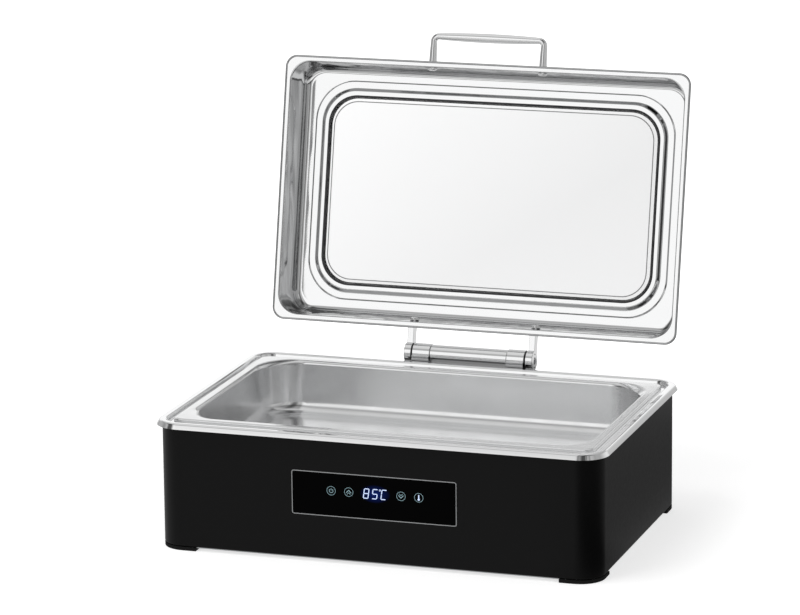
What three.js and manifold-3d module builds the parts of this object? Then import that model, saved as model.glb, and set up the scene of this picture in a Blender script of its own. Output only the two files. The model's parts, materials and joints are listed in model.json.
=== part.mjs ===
// Electric chafing dish: a full gastronorm pan in a water pan, on a black heated
// stand with a touch panel, under a polished lid with a window and a damped hinge.
// Millimetres. X runs along the long side, Y to the back, Z up. The origin is the
// centre of the bottom plate's underside. The lid stands open against its stop.

import * as THREE from 'three';
import { mergeVertices } from 'three/addons/utils/BufferGeometryUtils.js';
import Module from 'manifold-3d';

const wasm = await Module();
wasm.setup();

// Facets and clearances
const cornerSteps = 5; // facets round a large plan corner
const panelCornerSteps = 3; // facets round a small plan corner
const bendStep = Math.PI / 6; // largest turn between facets of a bend
const roundSides = 20;
const smallSides = 8;
const nutSides = 6;
const curveSteps = 6; // facets along a drawn curve
const hemStepScale = 1.7; // a rolled hem's facets against a bend's
const routeStepScale = 1.25; // a lead's facets against a bend's
const bendRoomShare = 0.48; // of the shorter leg that a bend may take up
const domeShares = [0.86, 0.66, 0.5]; // a screw head's shoulder radius and height, and its crown
const seatGap = 0.3; // between two pieces that rest on each other
const cutOverrun = 1; // how far a cut runs past its wall
const weldTolerance = 1e-4;

// Food pan, full gastronorm size
const panLength = 530;
const panWidth = 325;
const panFlange = 12.6;
const panFlangeCorner = 7.6;
const panMouthCorner = 55;
const panFloorCorner = 46;
const panLip = 4.6;
const panLipBend = 1.6;
const panMouthBend = 4.5;
const panFloorBend = 16;
const panDepth = 65;
const panDraft = 5 * Math.PI / 180;
const panSheet = 0.8;

// Stack under the food pan
const basePlateSheet = 1;
const chamberHeight = 54.9; // free height over the bottom plate
const strapThickness = 2;
const heaterTubeRadius = 3.5;
const heaterPlateThickness = 5;
const waterSpace = 19;
const waterPanSheet = 0.8;

// Water pan rim and walls
const skirtLength = 570;
const skirtWidth = 380.6;
const skirtCorner = 34;
const skirtDrop = 6.8; // from the bead's crest to the skirt's lower edge
const skirtFlare = 3.5;
const beadRise = 0.3; // bead's crest above the food pan's rim
const beadWidth = 7.7;
const beadSlope = 1.4;
const beadOuterBend = 3.4;
const beadInnerBend = 3;
const grooveBend = 1.2;
const waterMouthGap = 3.8; // between the two pans' walls at the mouth
const waterMouthBend = 4;
const waterFloorBend = 14;
const waterDraft = 2 * Math.PI / 180;

// Housing
const housingLength = 558;
const housingWidth = 368.6;
const housingCorner = 31;
const housingSheet = 1.2;
const housingBend = 2;
const housingFlange = 14;

// Bottom plate and its vents
const basePlateInset = 3;
const ventWidth = 4;
const ventLength = 62;
const ventPitch = 11;
const ventRows = 5;
const ventCentreX = 120;
const ventCentreY = 104;

// Feet
const footHeight = 4.9; // from the table to the housing's lower edge
const footLength = 49;
const footInnerCorner = 9;
const footChamfer = 0.8;
const footRim = 2.4;
const footHeadRadius = 4;
const footHeadHeight = 1.6;
const footScrewRadius = 1.8;
const footScrewLength = 8;
const footScrewInset = 8; // from the housing's outer face
const screwClearance = 0.35;

// Rear inlet
const inletSetIn = 89; // from the stand's left end to the inlet's middle
const inletHeight = 34;
const inletFaceWidth = 31;
const inletFaceHeight = 24;
const inletFaceThickness = 2.5;
const inletFaceCorner = 3;
const inletFaceBevel = 0.6;
const inletBodyWidth = 27.6;
const inletBodyHeight = 19.8;
const inletBodyDepth = 22;
const inletMouthWidth = 24;
const inletMouthHeight = 16;
const inletMouthDepth = 18;
const inletMouthCorner = 2.5;
const pinWidth = 2;
const pinHeight = 4;
const pinReach = 15.5;
const pinTail = 7;
const pinSpacing = 14;
const pinDrop = 2;
const earthPinRise = 4;

// Rear louvre slots
const louvreSetIn = 89; // from the stand's right end to the row's middle
const louvreCount = 9;
const louvrePitch = 8;
const louvreWidth = 3;
const louvreHeight = 30;

// Control panel
const panelLength = 208;
const panelHeight = 54.8;
const panelAboveTable = 86.3; // height of its centre
const panelCorner = 3;
const bezelWidth = 1;
const bezelProud = 0.6;
const bezelFlange = 4;
const bezelFlangeSheet = 1.5;
const panelGlassThickness = 2.5;
const panelGlassSetback = 0.2;
const panelGlassBevel = 0.3;
const carrierDepth = 6.5;
const carrierWall = 8;
const boardThickness = 1.6;
const controlBoardMargin = 3;
const displayLength = 37;
const displayHeight = 18;
const displayCentreX = 1.6;
const displayRise = 4.8; // of the row of icons over the panel's centre
const touchPadRadius = 5;
const touchPadXs = [-53.7, -31.4, 34.5, 56.8];
const touchPadNames = ['power', 'up', 'down', 'temperature'];

// Heater
const heaterPlateLength = 340;
const heaterPlateWidth = 190;
const heaterPlateCorner = 22;
const heaterLoopLength = 270;
const heaterLoopWidth = 116;
const heaterLoopBend = 24;
const heaterTerminalHalfGap = 20;
const heaterTerminalReach = 34;
const strapWidth = 22;
const strapOverlap = 14;
const studRadius = 3;
const studReach = 14;
const nutRadius = 6;
const nutHeight = 5;
const probeRadius = 3;
const probeLength = 26;
const probeX = 92;
const probeY = -112;
const cutoutRadius = 8;
const cutoutHeight = 9;
const cutoutFlangeRadius = 12;
const cutoutFlangeSheet = 1.2;
const cutoutX = 62;
const cutoutY = 31;

// Power board
const powerBoardLength = 120;
const powerBoardWidth = 84;
const powerBoardSetIn = 121; // from the stand's left end to the board's middle
const powerBoardSetBack = 96.3; // from the stand's rear to the board's middle
const bossHeight = 7;
const bossRadius = 4;
const bossInset = 8;
const relayLength = 29;
const relayWidth = 13;
const relayHeight = 15.5;
const transformerLength = 24;
const transformerWidth = 22;
const transformerHeight = 19;

// Inner leads
const mainsLeadRadius = 3;
const heaterLeadRadius = 2.5;
const leadBend = 9;
const ribbonWidth = 14;
const ribbonThickness = 1.2;
const ribbonBend = 5;
const leadRise = 6;
const ribbonShare = 0.6; // of the power board's distance from the middle, where the ribbon starts

// Lid shell
const lidLength = 536.5;
const lidWidth = 339;
const lidSeat = 1.2; // lid's rim plane over the food pan's rim, when closed
const lidSetback = 3.5; // closed lid's centre behind the pans' centre
const lidSheet = 0.8;
const lidHemRadius = 1;
const lidFlange = 5.4;
const lidFlangeCorner = 15.5;
const lidWallCorner = 31;
const lidWallBend = 2;
const lidDepth = 49.2; // rim plane to the crown's middle surface
const lidDraft = 5.2 * Math.PI / 180;
const lidLean = 0.068; // share of a height by which the shell leans towards the handle
const lidShoulderBend = 10.8;
const lidShoulderCorner = 24;
const lidCrownCorner = 20;
const lidCrownWidth = 7.3; // flat ring between the shoulder and the crease
const creaseCorner = 53;
const cornerShare = 0.77; // of a ring's inset that its corner loses
const creaseWidth = 1;
const creaseDrop = 0.5;
const terraceWidth = 8.1; // flat ring between the crease and the slope
const slopeWidth = 3.8;
const slopeDrop = 3.9;
const shelfWidth = 6.4; // from the slope to the shell's edge round the window

// Lid window: a rubber profile grips the shell's edge and the glass's edge
const windowGlassThickness = 4; // at its edge
const windowGlassBevel = 0.4;
const paneRise = 0.8; // of the pane's middle over its edge, towards the food
const paneRim = 1.3; // flat rim of the glass in the seal
const paneSlope = 4.2; // width of the slope round the pane's middle
const sealWeb = 0.8;
const sealLip = 1.4; // thickness of the lip on the food's side
const sealLipOut = 2.4; // its reach over the shell
const sealLipIn = 1; // its reach under the glass
const sealCap = 1.2; // thickness of the lip on the outside
const sealCapOut = 1.9;
const sealCapIn = 2;
const sealChamfer = 0.6;

// Lid handle
const handleSpan = 146.5;
const handleReach = 34; // bar's middle line beyond the lid's rim edge
const handleDepth = 11; // from the rim plane
const handleFootRadius = 5.8;
const handleNeckRadius = 4.3;
const handleBendRadius = 3.8;
const handleGripRadius = 6.3;
const handleBend = 6.5;
const handleSides = 10;
const handleGripStations = 8;
const handleNeckShare = 0.45; // of the post's length, from the foot to the neck
const gripSwellPower = 0.8; // how fast the grip swells from its ends

// Screws through the lid's walls
const lidScrewRadius = 2.2;
const lidScrewHeadRadius = 6;
const lidScrewHeadHeight = 3;
const lidScrewLength = 11;
const lidScrewDepthClearance = 1.5;
const lidHoleReach = 5; // of a hole's cut to each side of the wall

// Hinge
const openAngle = 102.24 * Math.PI / 180;
const hingeRise = 6; // axis above the food pan's rim
const hingeSkirtGap = 3.4; // between the rings and the water pan's skirt
const barrelRadius = 12;
const barrelHalfLength = 50.9;
const ringRadius = 13;
const ringStart = 51.2;
const ringEnd = 74.3;
const hubStart = 76.4;
const hubEnd = 85.6;
const hubChamfer = 0.9;
const shaftRadius = 5;
const shaftEndInset = 4;
const bushWall = 2.8;
const bushFlangeRadius = 12.3;
const damperLength = 84;
const damperWall = 2.4;
const barrelChamfer = 0.5;
const armWidth = 8.2;
const armThickness = 12.5;
const armPadHeight = 21;
const armPadWidth = 12;
const armPadThickness = 3.6;
const armScrewDepth = 17;
const armScrewLength = 9;
const armRootReach = 9;
const armRootShare = 0.5; // of the root's reach and height, where its curve starts
const shaftScrewRadius = 2.3;
const shaftScrewLength = 13;
const shaftHeadRadius = 4.3;
const shaftHeadHeight = 2;
const faceSlotLength = 5.5;
const faceSlotWidth = 1.6;
const faceSlotDepth = 1;
const faceSlotOffset = 8.3;

// Hinge bracket on the rear wall
const bracketSheet = 3;
const bracketHeight = 56;
const bracketCorner = 5;
const bracketBevel = 0.5;
const bracketTopGap = 3.2; // below the skirt
const bracketStepGap = 0.8; // behind the skirt
const lugFoot = 20; // height of the lug's root on the plate
const bracketBoltX = 62;
const bracketBoltMargin = 9;
const boltRadius = 2.4;
const boltHeadRadius = 4.4;
const boltHeadHeight = 2.6;
const boltTail = 2; // of a bolt past the backing plate
const backingSheet = 2;

// Levels worked out from the stack
const housingBottomZ = basePlateSheet + seatGap;
const tableZ = housingBottomZ - footHeight;
const strapZ = basePlateSheet + chamberHeight;
const heaterTubeZ = strapZ + strapThickness + seatGap + heaterTubeRadius;
const heaterPlateZ = heaterTubeZ + heaterTubeRadius + seatGap;
const waterFloorZ = heaterPlateZ + heaterPlateThickness + seatGap;
const panFloorZ = waterFloorZ + waterPanSheet + waterSpace;
const panRimZ = panFloorZ + panSheet + panDepth;
const ledgeTopZ = panRimZ - panLip - seatGap;
const ledgeZ = ledgeTopZ - waterPanSheet;
const housingTopZ = ledgeZ - seatGap;
const crestZ = panRimZ + beadRise;
const skirtZ = crestZ - skirtDrop;
const frontY = -housingWidth / 2;
const rearY = housingWidth / 2;
const frontInnerY = frontY + housingSheet;
const rearInnerY = rearY - housingSheet;
const inletX = inletSetIn - housingLength / 2;
const louvreX = housingLength / 2 - louvreSetIn;
const powerBoardX = powerBoardSetIn - housingLength / 2;
const powerBoardY = rearY - powerBoardSetBack;

// Colours, roughness and metalness of each finish
const finishes = {
  powderCoat: { color: 0x171717, roughness: 0.42, metalness: 0 },
  polishedSteel: { color: 0xd6d8da, roughness: 0.12, metalness: 1 },
  satinSteel: { color: 0xb9bbbd, roughness: 0.32, metalness: 1 },
  aluminium: { color: 0xa9abad, roughness: 0.4, metalness: 1 },
  zincPlate: { color: 0xa3a5a6, roughness: 0.38, metalness: 1 },
  brass: { color: 0xb79b58, roughness: 0.35, metalness: 1 },
  blackPlastic: { color: 0x1b1b1c, roughness: 0.6, metalness: 0 },
  blackGlass: { color: 0x020203, roughness: 0.06, metalness: 0 },
  windowGlass: { color: 0xeef3f2, roughness: 0.03, metalness: 0, transparent: true, opacity: 0.3 },
  silicone: { color: 0x2a2a2b, roughness: 0.7, metalness: 0 },
  rubber: { color: 0x151515, roughness: 0.85, metalness: 0 },
  circuitBoard: { color: 0x17452d, roughness: 0.55, metalness: 0 },
  componentBlue: { color: 0x28406f, roughness: 0.5, metalness: 0 },
  componentYellow: { color: 0xb9a24a, roughness: 0.6, metalness: 0 },
  leadJacket: { color: 0x202022, roughness: 0.65, metalness: 0 },
  ribbonGrey: { color: 0x9a9a98, roughness: 0.6, metalness: 0 },
};

// Geometry from points and triangles, turned so that its faces point out
function bodyFrom(positions, triangles) {
  let volume = 0;
  const at = (i) => new THREE.Vector3().fromArray(positions, 3 * i);
  for (let i = 0; i < triangles.length; i += 3) {
    const [a, b, c] = [at(triangles[i]), at(triangles[i + 1]), at(triangles[i + 2])];
    volume += a.dot(b.cross(c));
  }
  const index = [];
  for (let i = 0; i < triangles.length; i += 3) {
    const [a, b, c] = triangles.slice(i, i + 3);
    index.push(a, ...(volume < 0 ? [c, b] : [b, c]));
  }
  const geometry = new THREE.BufferGeometry();
  geometry.setAttribute('position', new THREE.Float32BufferAttribute(positions, 3));
  geometry.setIndex(index);
  return geometry;
}

// A three.js geometry with shared vertices merged and empty triangles left out
function weld(source) {
  const bare = new THREE.BufferGeometry();
  bare.setAttribute('position', source.getAttribute('position'));
  if (source.index) bare.setIndex(source.index);
  const merged = mergeVertices(bare, weldTolerance);
  const all = Array.from(merged.index.array);
  const kept = [];
  for (let i = 0; i < all.length; i += 3) {
    const [a, b, c] = all.slice(i, i + 3);
    if (a !== b && b !== c && c !== a) kept.push(a, b, c);
  }
  return bodyFrom(Array.from(merged.getAttribute('position').array), kept);
}

function toSolid(geometry) {
  const body = weld(geometry);
  return new wasm.Manifold(new wasm.Mesh({
    numProp: 3,
    vertProperties: new Float32Array(body.getAttribute('position').array),
    triVerts: new Uint32Array(body.index.array),
  }));
}

function fromSolid(solid) {
  const mesh = solid.getMesh();
  const geometry = new THREE.BufferGeometry();
  geometry.setAttribute('position', new THREE.Float32BufferAttribute(mesh.vertProperties, 3));
  geometry.setIndex(Array.from(mesh.triVerts));
  return geometry;
}

function join(first, ...others) {
  return fromSolid(others.reduce((solid, other) => solid.add(toSolid(other)), toSolid(first)));
}

function cut(body, ...tools) {
  return fromSolid(tools.reduce((solid, tool) => solid.subtract(toSolid(tool)), toSolid(body)));
}

function common(first, second) {
  return fromSolid(toSolid(first).intersect(toSolid(second)));
}

// One ring of points round a rounded rectangle, hx and hy being half its sides
function ringPoints({ hx, hy, corner, z }, steps) {
  const r = Math.min(corner, hx, hy);
  const centres = [[hx - r, hy - r], [r - hx, hy - r], [r - hx, r - hy], [hx - r, r - hy]];
  return centres.flatMap(([x, y], quarter) => Array.from({ length: steps + 1 }, (_, i) => {
    const angle = (quarter + i / steps) * Math.PI / 2;
    return [x + r * Math.cos(angle), y + r * Math.sin(angle), z];
  }));
}

// Rings joined one to the next; a closed loft joins the last to the first, an open
// one has a flat cap on each end
function joinRings(rings, closed = false) {
  const count = rings[0].length;
  const triangles = [];
  const bands = closed ? rings.length : rings.length - 1;
  for (let j = 0; j < bands; j += 1) {
    const a = j * count;
    const b = ((j + 1) % rings.length) * count;
    for (let i = 0; i < count; i += 1) {
      const n = (i + 1) % count;
      triangles.push(a + i, a + n, b + n, a + i, b + n, b + i);
    }
  }
  const end = (rings.length - 1) * count;
  for (let i = 1; i < count - 1 && !closed; i += 1) {
    triangles.push(0, i + 1, i, end, end + i, end + i + 1);
  }
  return bodyFrom(rings.flat(2), triangles);
}

function loft(rings, { steps = cornerSteps, closed = false } = {}) {
  return joinRings(rings.map((ring) => ringPoints(ring, steps)), closed);
}

// The middle line of a bent sheet. Each point has half sides hx and hy, a plan
// corner, a height z and the radius of its bend in section. The samples carry the
// unit normal of the sheet in section.
function bendLine(points) {
  const flat = points.map((p) => new THREE.Vector2(p.hx, p.z));
  const mix = (p, q, t) => ({
    extra: (p.hy - p.hx) + t * ((q.hy - q.hx) - (p.hy - p.hx)),
    corner: p.corner + t * (q.corner - p.corner),
  });
  const sample = (at, direction, plan) => ({
    hx: at.x, z: at.y, extra: plan.extra, corner: plan.corner,
    nx: -direction.y, nz: direction.x,
  });
  const toward = (i) => flat[i + 1].clone().sub(flat[i]).normalize();
  const samples = [sample(flat[0], toward(0), mix(points[0], points[1], 0))];
  for (let i = 1; i < points.length - 1; i += 1) {
    const before = toward(i - 1);
    const after = toward(i);
    const turn = Math.atan2(before.cross(after), before.dot(after));
    const room = Math.min(flat[i].distanceTo(flat[i - 1]), flat[i].distanceTo(flat[i + 1]));
    const tangent = Math.min((points[i].bend ?? 0) * Math.abs(Math.tan(turn / 2)), room * bendRoomShare);
    const start = flat[i].clone().addScaledVector(before, -tangent);
    const planIn = mix(points[i], points[i - 1], tangent / flat[i].distanceTo(flat[i - 1]));
    const planOut = mix(points[i], points[i + 1], tangent / flat[i].distanceTo(flat[i + 1]));
    if (tangent === 0 || Math.abs(turn) < weldTolerance) {
      const middle = before.clone().add(after).normalize();
      samples.push(sample(flat[i], middle, mix(points[i], points[i + 1], 0)));
      continue;
    }
    const radius = tangent / Math.abs(Math.tan(turn / 2));
    const side = Math.sign(turn);
    const centre = new THREE.Vector2(-before.y, before.x).multiplyScalar(side * radius).add(start);
    const steps = Math.max(2, Math.ceil(Math.abs(turn) / bendStep));
    for (let k = 0; k <= steps; k += 1) {
      const t = k / steps;
      const direction = before.clone().rotateAround(new THREE.Vector2(), turn * t);
      const spoke = new THREE.Vector2(direction.y, -direction.x).multiplyScalar(side * radius);
      const plan = {
        extra: planIn.extra + t * (planOut.extra - planIn.extra),
        corner: planIn.corner + t * (planOut.corner - planIn.corner),
      };
      samples.push(sample(centre.clone().add(spoke), direction, plan));
    }
  }
  const last = points.length - 1;
  samples.push(sample(flat[last], toward(last - 1), mix(points[last], points[last], 0)));
  return samples;
}

// One surface of the sheet, a distance off its middle line
function offsetRing(s, distance) {
  const hx = s.hx + s.nx * distance;
  return { hx, hy: hx + s.extra, corner: s.corner + s.nx * distance, z: s.z + s.nz * distance };
}

// A bent sheet as a solid: a frame when it is open in the middle, else a pan whose
// last point lies on its floor. hem is the radius of a rolled edge at the start.
function sheetBody(points, thickness, { open = false, hem = 0, steps = cornerSteps } = {}) {
  const samples = bendLine(points);
  const outer = samples.map((s) => offsetRing(s, thickness / 2));
  const inner = samples.map((s) => offsetRing(s, -thickness / 2));
  if (hem > 0) {
    const start = samples[0];
    const reach = Math.PI / 2 + Math.asin(Math.sqrt(1 - (thickness / (2 * hem)) ** 2));
    const count = Math.ceil(2 * reach / (bendStep * hemStepScale));
    const roll = Array.from({ length: count + 1 }, (_, k) => {
      const angle = reach - 2 * reach * k / count;
      const along = -Math.cos(angle) * hem;
      const across = -Math.sin(angle) * hem;
      const dx = start.nz * along + start.nx * across;
      const dz = -start.nx * along + start.nz * across;
      const hx = start.hx + dx;
      return { hx, hy: hx + start.extra, corner: start.corner + dx, z: start.z + dz };
    });
    outer.shift();
    inner.shift();
    return loft([...outer, ...inner.reverse(), ...roll], { steps, closed: true });
  }
  if (open) return loft([...outer, ...inner.reverse()], { steps, closed: true });
  return loft([...outer.reverse(), ...inner], { steps });
}

// A flat plate with rounded corners, standing from z to z plus its thickness
function plate({ length, width, corner, z = 0, thickness, steps = panelCornerSteps, bevel = 0 }) {
  const edge = (inset, height) => ({
    hx: length / 2 - inset,
    hy: width / 2 - inset,
    corner: Math.max(corner - inset, weldTolerance),
    z: height,
  });
  const top = z + thickness;
  const rings = [edge(bevel, z), edge(0, z + bevel), edge(0, top - bevel), edge(bevel, top)];
  return loft(bevel > 0 ? rings : [rings[0], rings[3]], { steps });
}

function block(x0, x1, y0, y1, z0, z1) {
  const geometry = new THREE.BoxGeometry(x1 - x0, y1 - y0, z1 - z0);
  return geometry.translate((x0 + x1) / 2, (y0 + y1) / 2, (z0 + z1) / 2);
}

// A turned piece: its profile is a list of radius and height, its axis is Z
function turned(profile, sides = roundSides) {
  const points = profile.map(([radius, height]) => new THREE.Vector2(radius, height));
  const geometry = new THREE.LatheGeometry(points, sides);
  return weld(geometry.rotateX(Math.PI / 2));
}

function rod(radius, z0, z1, sides = smallSides) {
  return turned([[0, z0], [radius, z0], [radius, z1], [0, z1]], sides);
}

function sleeve(outer, inner, z0, z1, chamfer = 0, sides = roundSides) {
  const square = [[inner, z0], [outer, z0], [outer, z1], [inner, z1], [inner, z0]];
  const chamfered = [[inner, z0], [outer - chamfer, z0], [outer, z0 + chamfer]];
  chamfered.push([outer, z1 - chamfer], [outer - chamfer, z1], [inner, z1], [inner, z0]);
  return turned(chamfer > 0 ? chamfered : square, sides);
}

// A domed screw: head from z 0 up, shank down
function domedScrew(headRadius, headHeight, shankRadius, length, sides = smallSides) {
  return turned([
    [0, -length], [shankRadius, -length], [shankRadius, 0], [headRadius, 0],
    [headRadius * domeShares[0], headHeight * domeShares[1]],
    [headRadius * domeShares[2], headHeight], [0, headHeight],
  ], sides);
}

// Axis turns: a piece modelled along Z is laid along X or Y
const alongX = (geometry) => geometry.clone().rotateY(Math.PI / 2);
const alongBack = (geometry) => geometry.clone().rotateX(-Math.PI / 2);
const alongFront = (geometry) => geometry.clone().rotateX(Math.PI / 2);
const mirrorX = (geometry) => {
  const flipped = geometry.clone().scale(-1, 1, 1);
  return weld(flipped);
};

// Stations of a route through corner points, each corner rounded
function route(points, bend) {
  const stations = [{ at: points[0], along: points[1].clone().sub(points[0]).normalize() }];
  for (let i = 1; i < points.length - 1; i += 1) {
    const before = points[i].clone().sub(points[i - 1]);
    const after = points[i + 1].clone().sub(points[i]);
    const room = Math.min(before.length(), after.length()) * bendRoomShare;
    before.normalize();
    after.normalize();
    const turn = before.angleTo(after);
    const tangent = Math.min(bend * Math.tan(turn / 2), room);
    const radius = tangent / Math.tan(turn / 2);
    const axis = before.clone().cross(after).normalize();
    const start = points[i].clone().addScaledVector(before, -tangent);
    const centre = axis.clone().cross(before).multiplyScalar(radius).add(start);
    const steps = Math.max(2, Math.ceil(turn / (bendStep * routeStepScale)));
    for (let k = 0; k <= steps; k += 1) {
      const angle = turn * k / steps;
      const spoke = start.clone().sub(centre).applyAxisAngle(axis, angle);
      stations.push({ at: centre.clone().add(spoke), along: before.clone().applyAxisAngle(axis, angle) });
    }
  }
  const last = points.length - 1;
  stations.push({ at: points[last], along: points[last].clone().sub(points[last - 1]).normalize() });
  return stations;
}

// A section carried along stations; up is the section's second direction at the start
function sweep(stations, section, up) {
  let second = up.clone();
  const rings = stations.map((station, i) => {
    if (i > 0) {
      const turn = new THREE.Quaternion().setFromUnitVectors(stations[i - 1].along, station.along);
      second.applyQuaternion(turn);
    }
    const first = second.clone().cross(station.along).normalize();
    const scale = station.scale ?? 1;
    return section.map(([a, b]) => station.at.clone()
      .addScaledVector(first, a * scale).addScaledVector(second, b * scale).toArray());
  });
  return joinRings(rings);
}

function circle(radius, sides) {
  return Array.from({ length: sides }, (_, i) => {
    const angle = 2 * Math.PI * i / sides;
    return [radius * Math.cos(angle), radius * Math.sin(angle)];
  });
}

const point = (x, y, z) => new THREE.Vector3(x, y, z);
const upward = point(0, 0, 1);

// The object's tree: the stand, and the lid turned open about the hinge axis
const group = new THREE.Group();
const hingeY = skirtWidth / 2 + hingeSkirtGap + ringRadius;
const hingeZ = panRimZ + hingeRise;
const lid = new THREE.Group();
lid.position.set(0, hingeY, hingeZ);
lid.rotation.x = -openAngle;
group.add(lid);

function piece(name, geometry, finish, parent = group) {
  const mesh = new THREE.Mesh(geometry, new THREE.MeshStandardMaterial(finishes[finish]));
  mesh.name = name;
  parent.add(mesh);
  return mesh;
}

// Food pan: lip, flange, rounded mouth, drafted wall and floor
const panMouthHalfX = panLength / 2 - panFlange;
const panMouthHalfY = panWidth / 2 - panFlange;
const panTaper = panDepth * Math.tan(panDraft);
function foodPan() {
  const half = panSheet / 2;
  const edge = (inset, corner, z, bend) => ({
    hx: panLength / 2 - inset, hy: panWidth / 2 - inset, corner, z, bend,
  });
  return sheetBody([
    edge(half, panFlangeCorner, panRimZ - panLip),
    edge(half, panFlangeCorner, panRimZ - half, panLipBend),
    edge(panFlange, panMouthCorner, panRimZ - half, panMouthBend),
    edge(panFlange + panTaper, panFloorCorner, panFloorZ + half, panFloorBend),
    edge(panFlange + panTaper + 2 * panFloorBend, panFloorCorner - panFloorBend, panFloorZ + half),
  ], panSheet);
}
piece('food_pan', foodPan(), 'polishedSteel');

// Water pan: flared skirt, bead, groove, ledge for the food pan's lip, wall and floor
const waterMouthHalfX = panMouthHalfX + waterMouthGap;
const waterMouthHalfY = panMouthHalfY + waterMouthGap;
const waterMouthCorner = panMouthCorner + waterMouthGap;
const beadInnerInset = skirtFlare + beadWidth;
const grooveInset = beadInnerInset + beadSlope;
function waterPan() {
  const half = waterPanSheet / 2;
  const rim = (inset, z, bend) => ({
    hx: skirtLength / 2 - half - inset, hy: skirtWidth / 2 - half - inset,
    corner: skirtCorner - half - inset, z, bend,
  });
  const taper = (ledgeZ - waterFloorZ) * Math.tan(waterDraft);
  const wall = (inset, z, bend) => ({
    hx: waterMouthHalfX - inset, hy: waterMouthHalfY - inset, corner: waterMouthCorner - inset, z, bend,
  });
  const pan = sheetBody([
    rim(0, skirtZ),
    rim(skirtFlare, crestZ - half, beadOuterBend),
    rim(beadInnerInset, crestZ - half, beadInnerBend),
    rim(grooveInset, ledgeZ + half, grooveBend),
    wall(0, ledgeZ + half, waterMouthBend),
    wall(taper, waterFloorZ + half, waterFloorBend),
    wall(taper + 2 * waterFloorBend, waterFloorZ + half),
  ], waterPanSheet);
  const stud = rod(studRadius, strapZ - studReach, waterFloorZ + half, smallSides);
  return join(pan, stud);
}
piece('water_pan', waterPan(), 'polishedSteel');

// Housing: one wrapped sheet with flanges turned in at the top and the bottom
const housingHalf = housingSheet / 2;
function housingEdge(inset, z, bend) {
  return {
    hx: housingLength / 2 - inset, hy: housingWidth / 2 - inset, corner: housingCorner - inset, z, bend,
  };
}

// A round cutting tool along Y through a wall, and one along Z
function holeAlongY(radius, x, z, y0, y1) {
  return alongBack(rod(radius, y0, y1)).translate(x, 0, z);
}

function holeAlongZ(radius, x, y, z0, z1) {
  return rod(radius, z0, z1).translate(x, y, 0);
}

// Bracket bolts pass the bracket, the rear wall and the backing plate
const bracketLength = 2 * ringEnd;
const bracketTopZ = skirtZ - bracketTopGap;
const bracketZ = bracketTopZ - bracketHeight;
const boltPlaces = [-1, 1].flatMap((side) => [
  [side * bracketBoltX, bracketZ + bracketBoltMargin],
  [side * bracketBoltX, bracketTopZ - lugFoot - boltHeadRadius - bracketSheet / 2],
]);
const bracketY = rearY + seatGap;
const backingY = rearInnerY - seatGap - backingSheet;

// Foot screws sit on the housing's flange, on each corner's diagonal
const footDiagonal = (housingCorner - footScrewInset) * Math.SQRT1_2;
const footScrewX = housingLength / 2 - housingCorner + footDiagonal;
const footScrewY = housingWidth / 2 - housingCorner + footDiagonal;
const quadrants = [
  ['front_left', -1, -1], ['front_right', 1, -1], ['rear_left', -1, 1], ['rear_right', 1, 1],
];

const panelZ = tableZ + panelAboveTable;
function housing() {
  const wrap = sheetBody([
    housingEdge(housingFlange, housingBottomZ + housingHalf),
    housingEdge(housingHalf, housingBottomZ + housingHalf, housingBend),
    housingEdge(housingHalf, housingTopZ - housingHalf, housingBend),
    housingEdge(housingFlange, housingTopZ - housingHalf),
  ], housingSheet, { open: true });
  const panelCut = plate({
    length: panelLength + 2 * seatGap, width: panelHeight + 2 * seatGap, corner: panelCorner + seatGap,
    z: -cutOverrun, thickness: housingSheet + 2 * cutOverrun,
  });
  const inletCut = plate({
    length: inletBodyWidth + 2 * seatGap, width: inletBodyHeight + 2 * seatGap, corner: inletMouthCorner,
    z: -cutOverrun, thickness: housingSheet + 2 * cutOverrun,
  });
  const tools = [
    alongBack(panelCut).translate(0, frontY, panelZ),
    alongBack(inletCut).translate(inletX, rearInnerY, tableZ + inletHeight),
  ];
  boltPlaces.forEach(([x, z]) => tools.push(
    holeAlongY(boltRadius + screwClearance, x, z, rearInnerY - cutOverrun, rearY + cutOverrun),
  ));
  for (let i = 0; i < louvreCount; i += 1) {
    const x = louvreX + (i - (louvreCount - 1) / 2) * louvrePitch;
    const z = tableZ + inletHeight;
    tools.push(block(x - louvreWidth / 2, x + louvreWidth / 2, rearInnerY - cutOverrun, rearY + cutOverrun,
      z - louvreHeight / 2, z + louvreHeight / 2));
  }
  quadrants.forEach(([, sx, sy]) => tools.push(holeAlongZ(
    footScrewRadius + screwClearance, sx * footScrewX, sy * footScrewY,
    housingBottomZ - cutOverrun, housingBottomZ + housingSheet + cutOverrun,
  )));
  return cut(wrap, ...tools);
}
piece('housing_shell', housing(), 'powderCoat');

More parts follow.
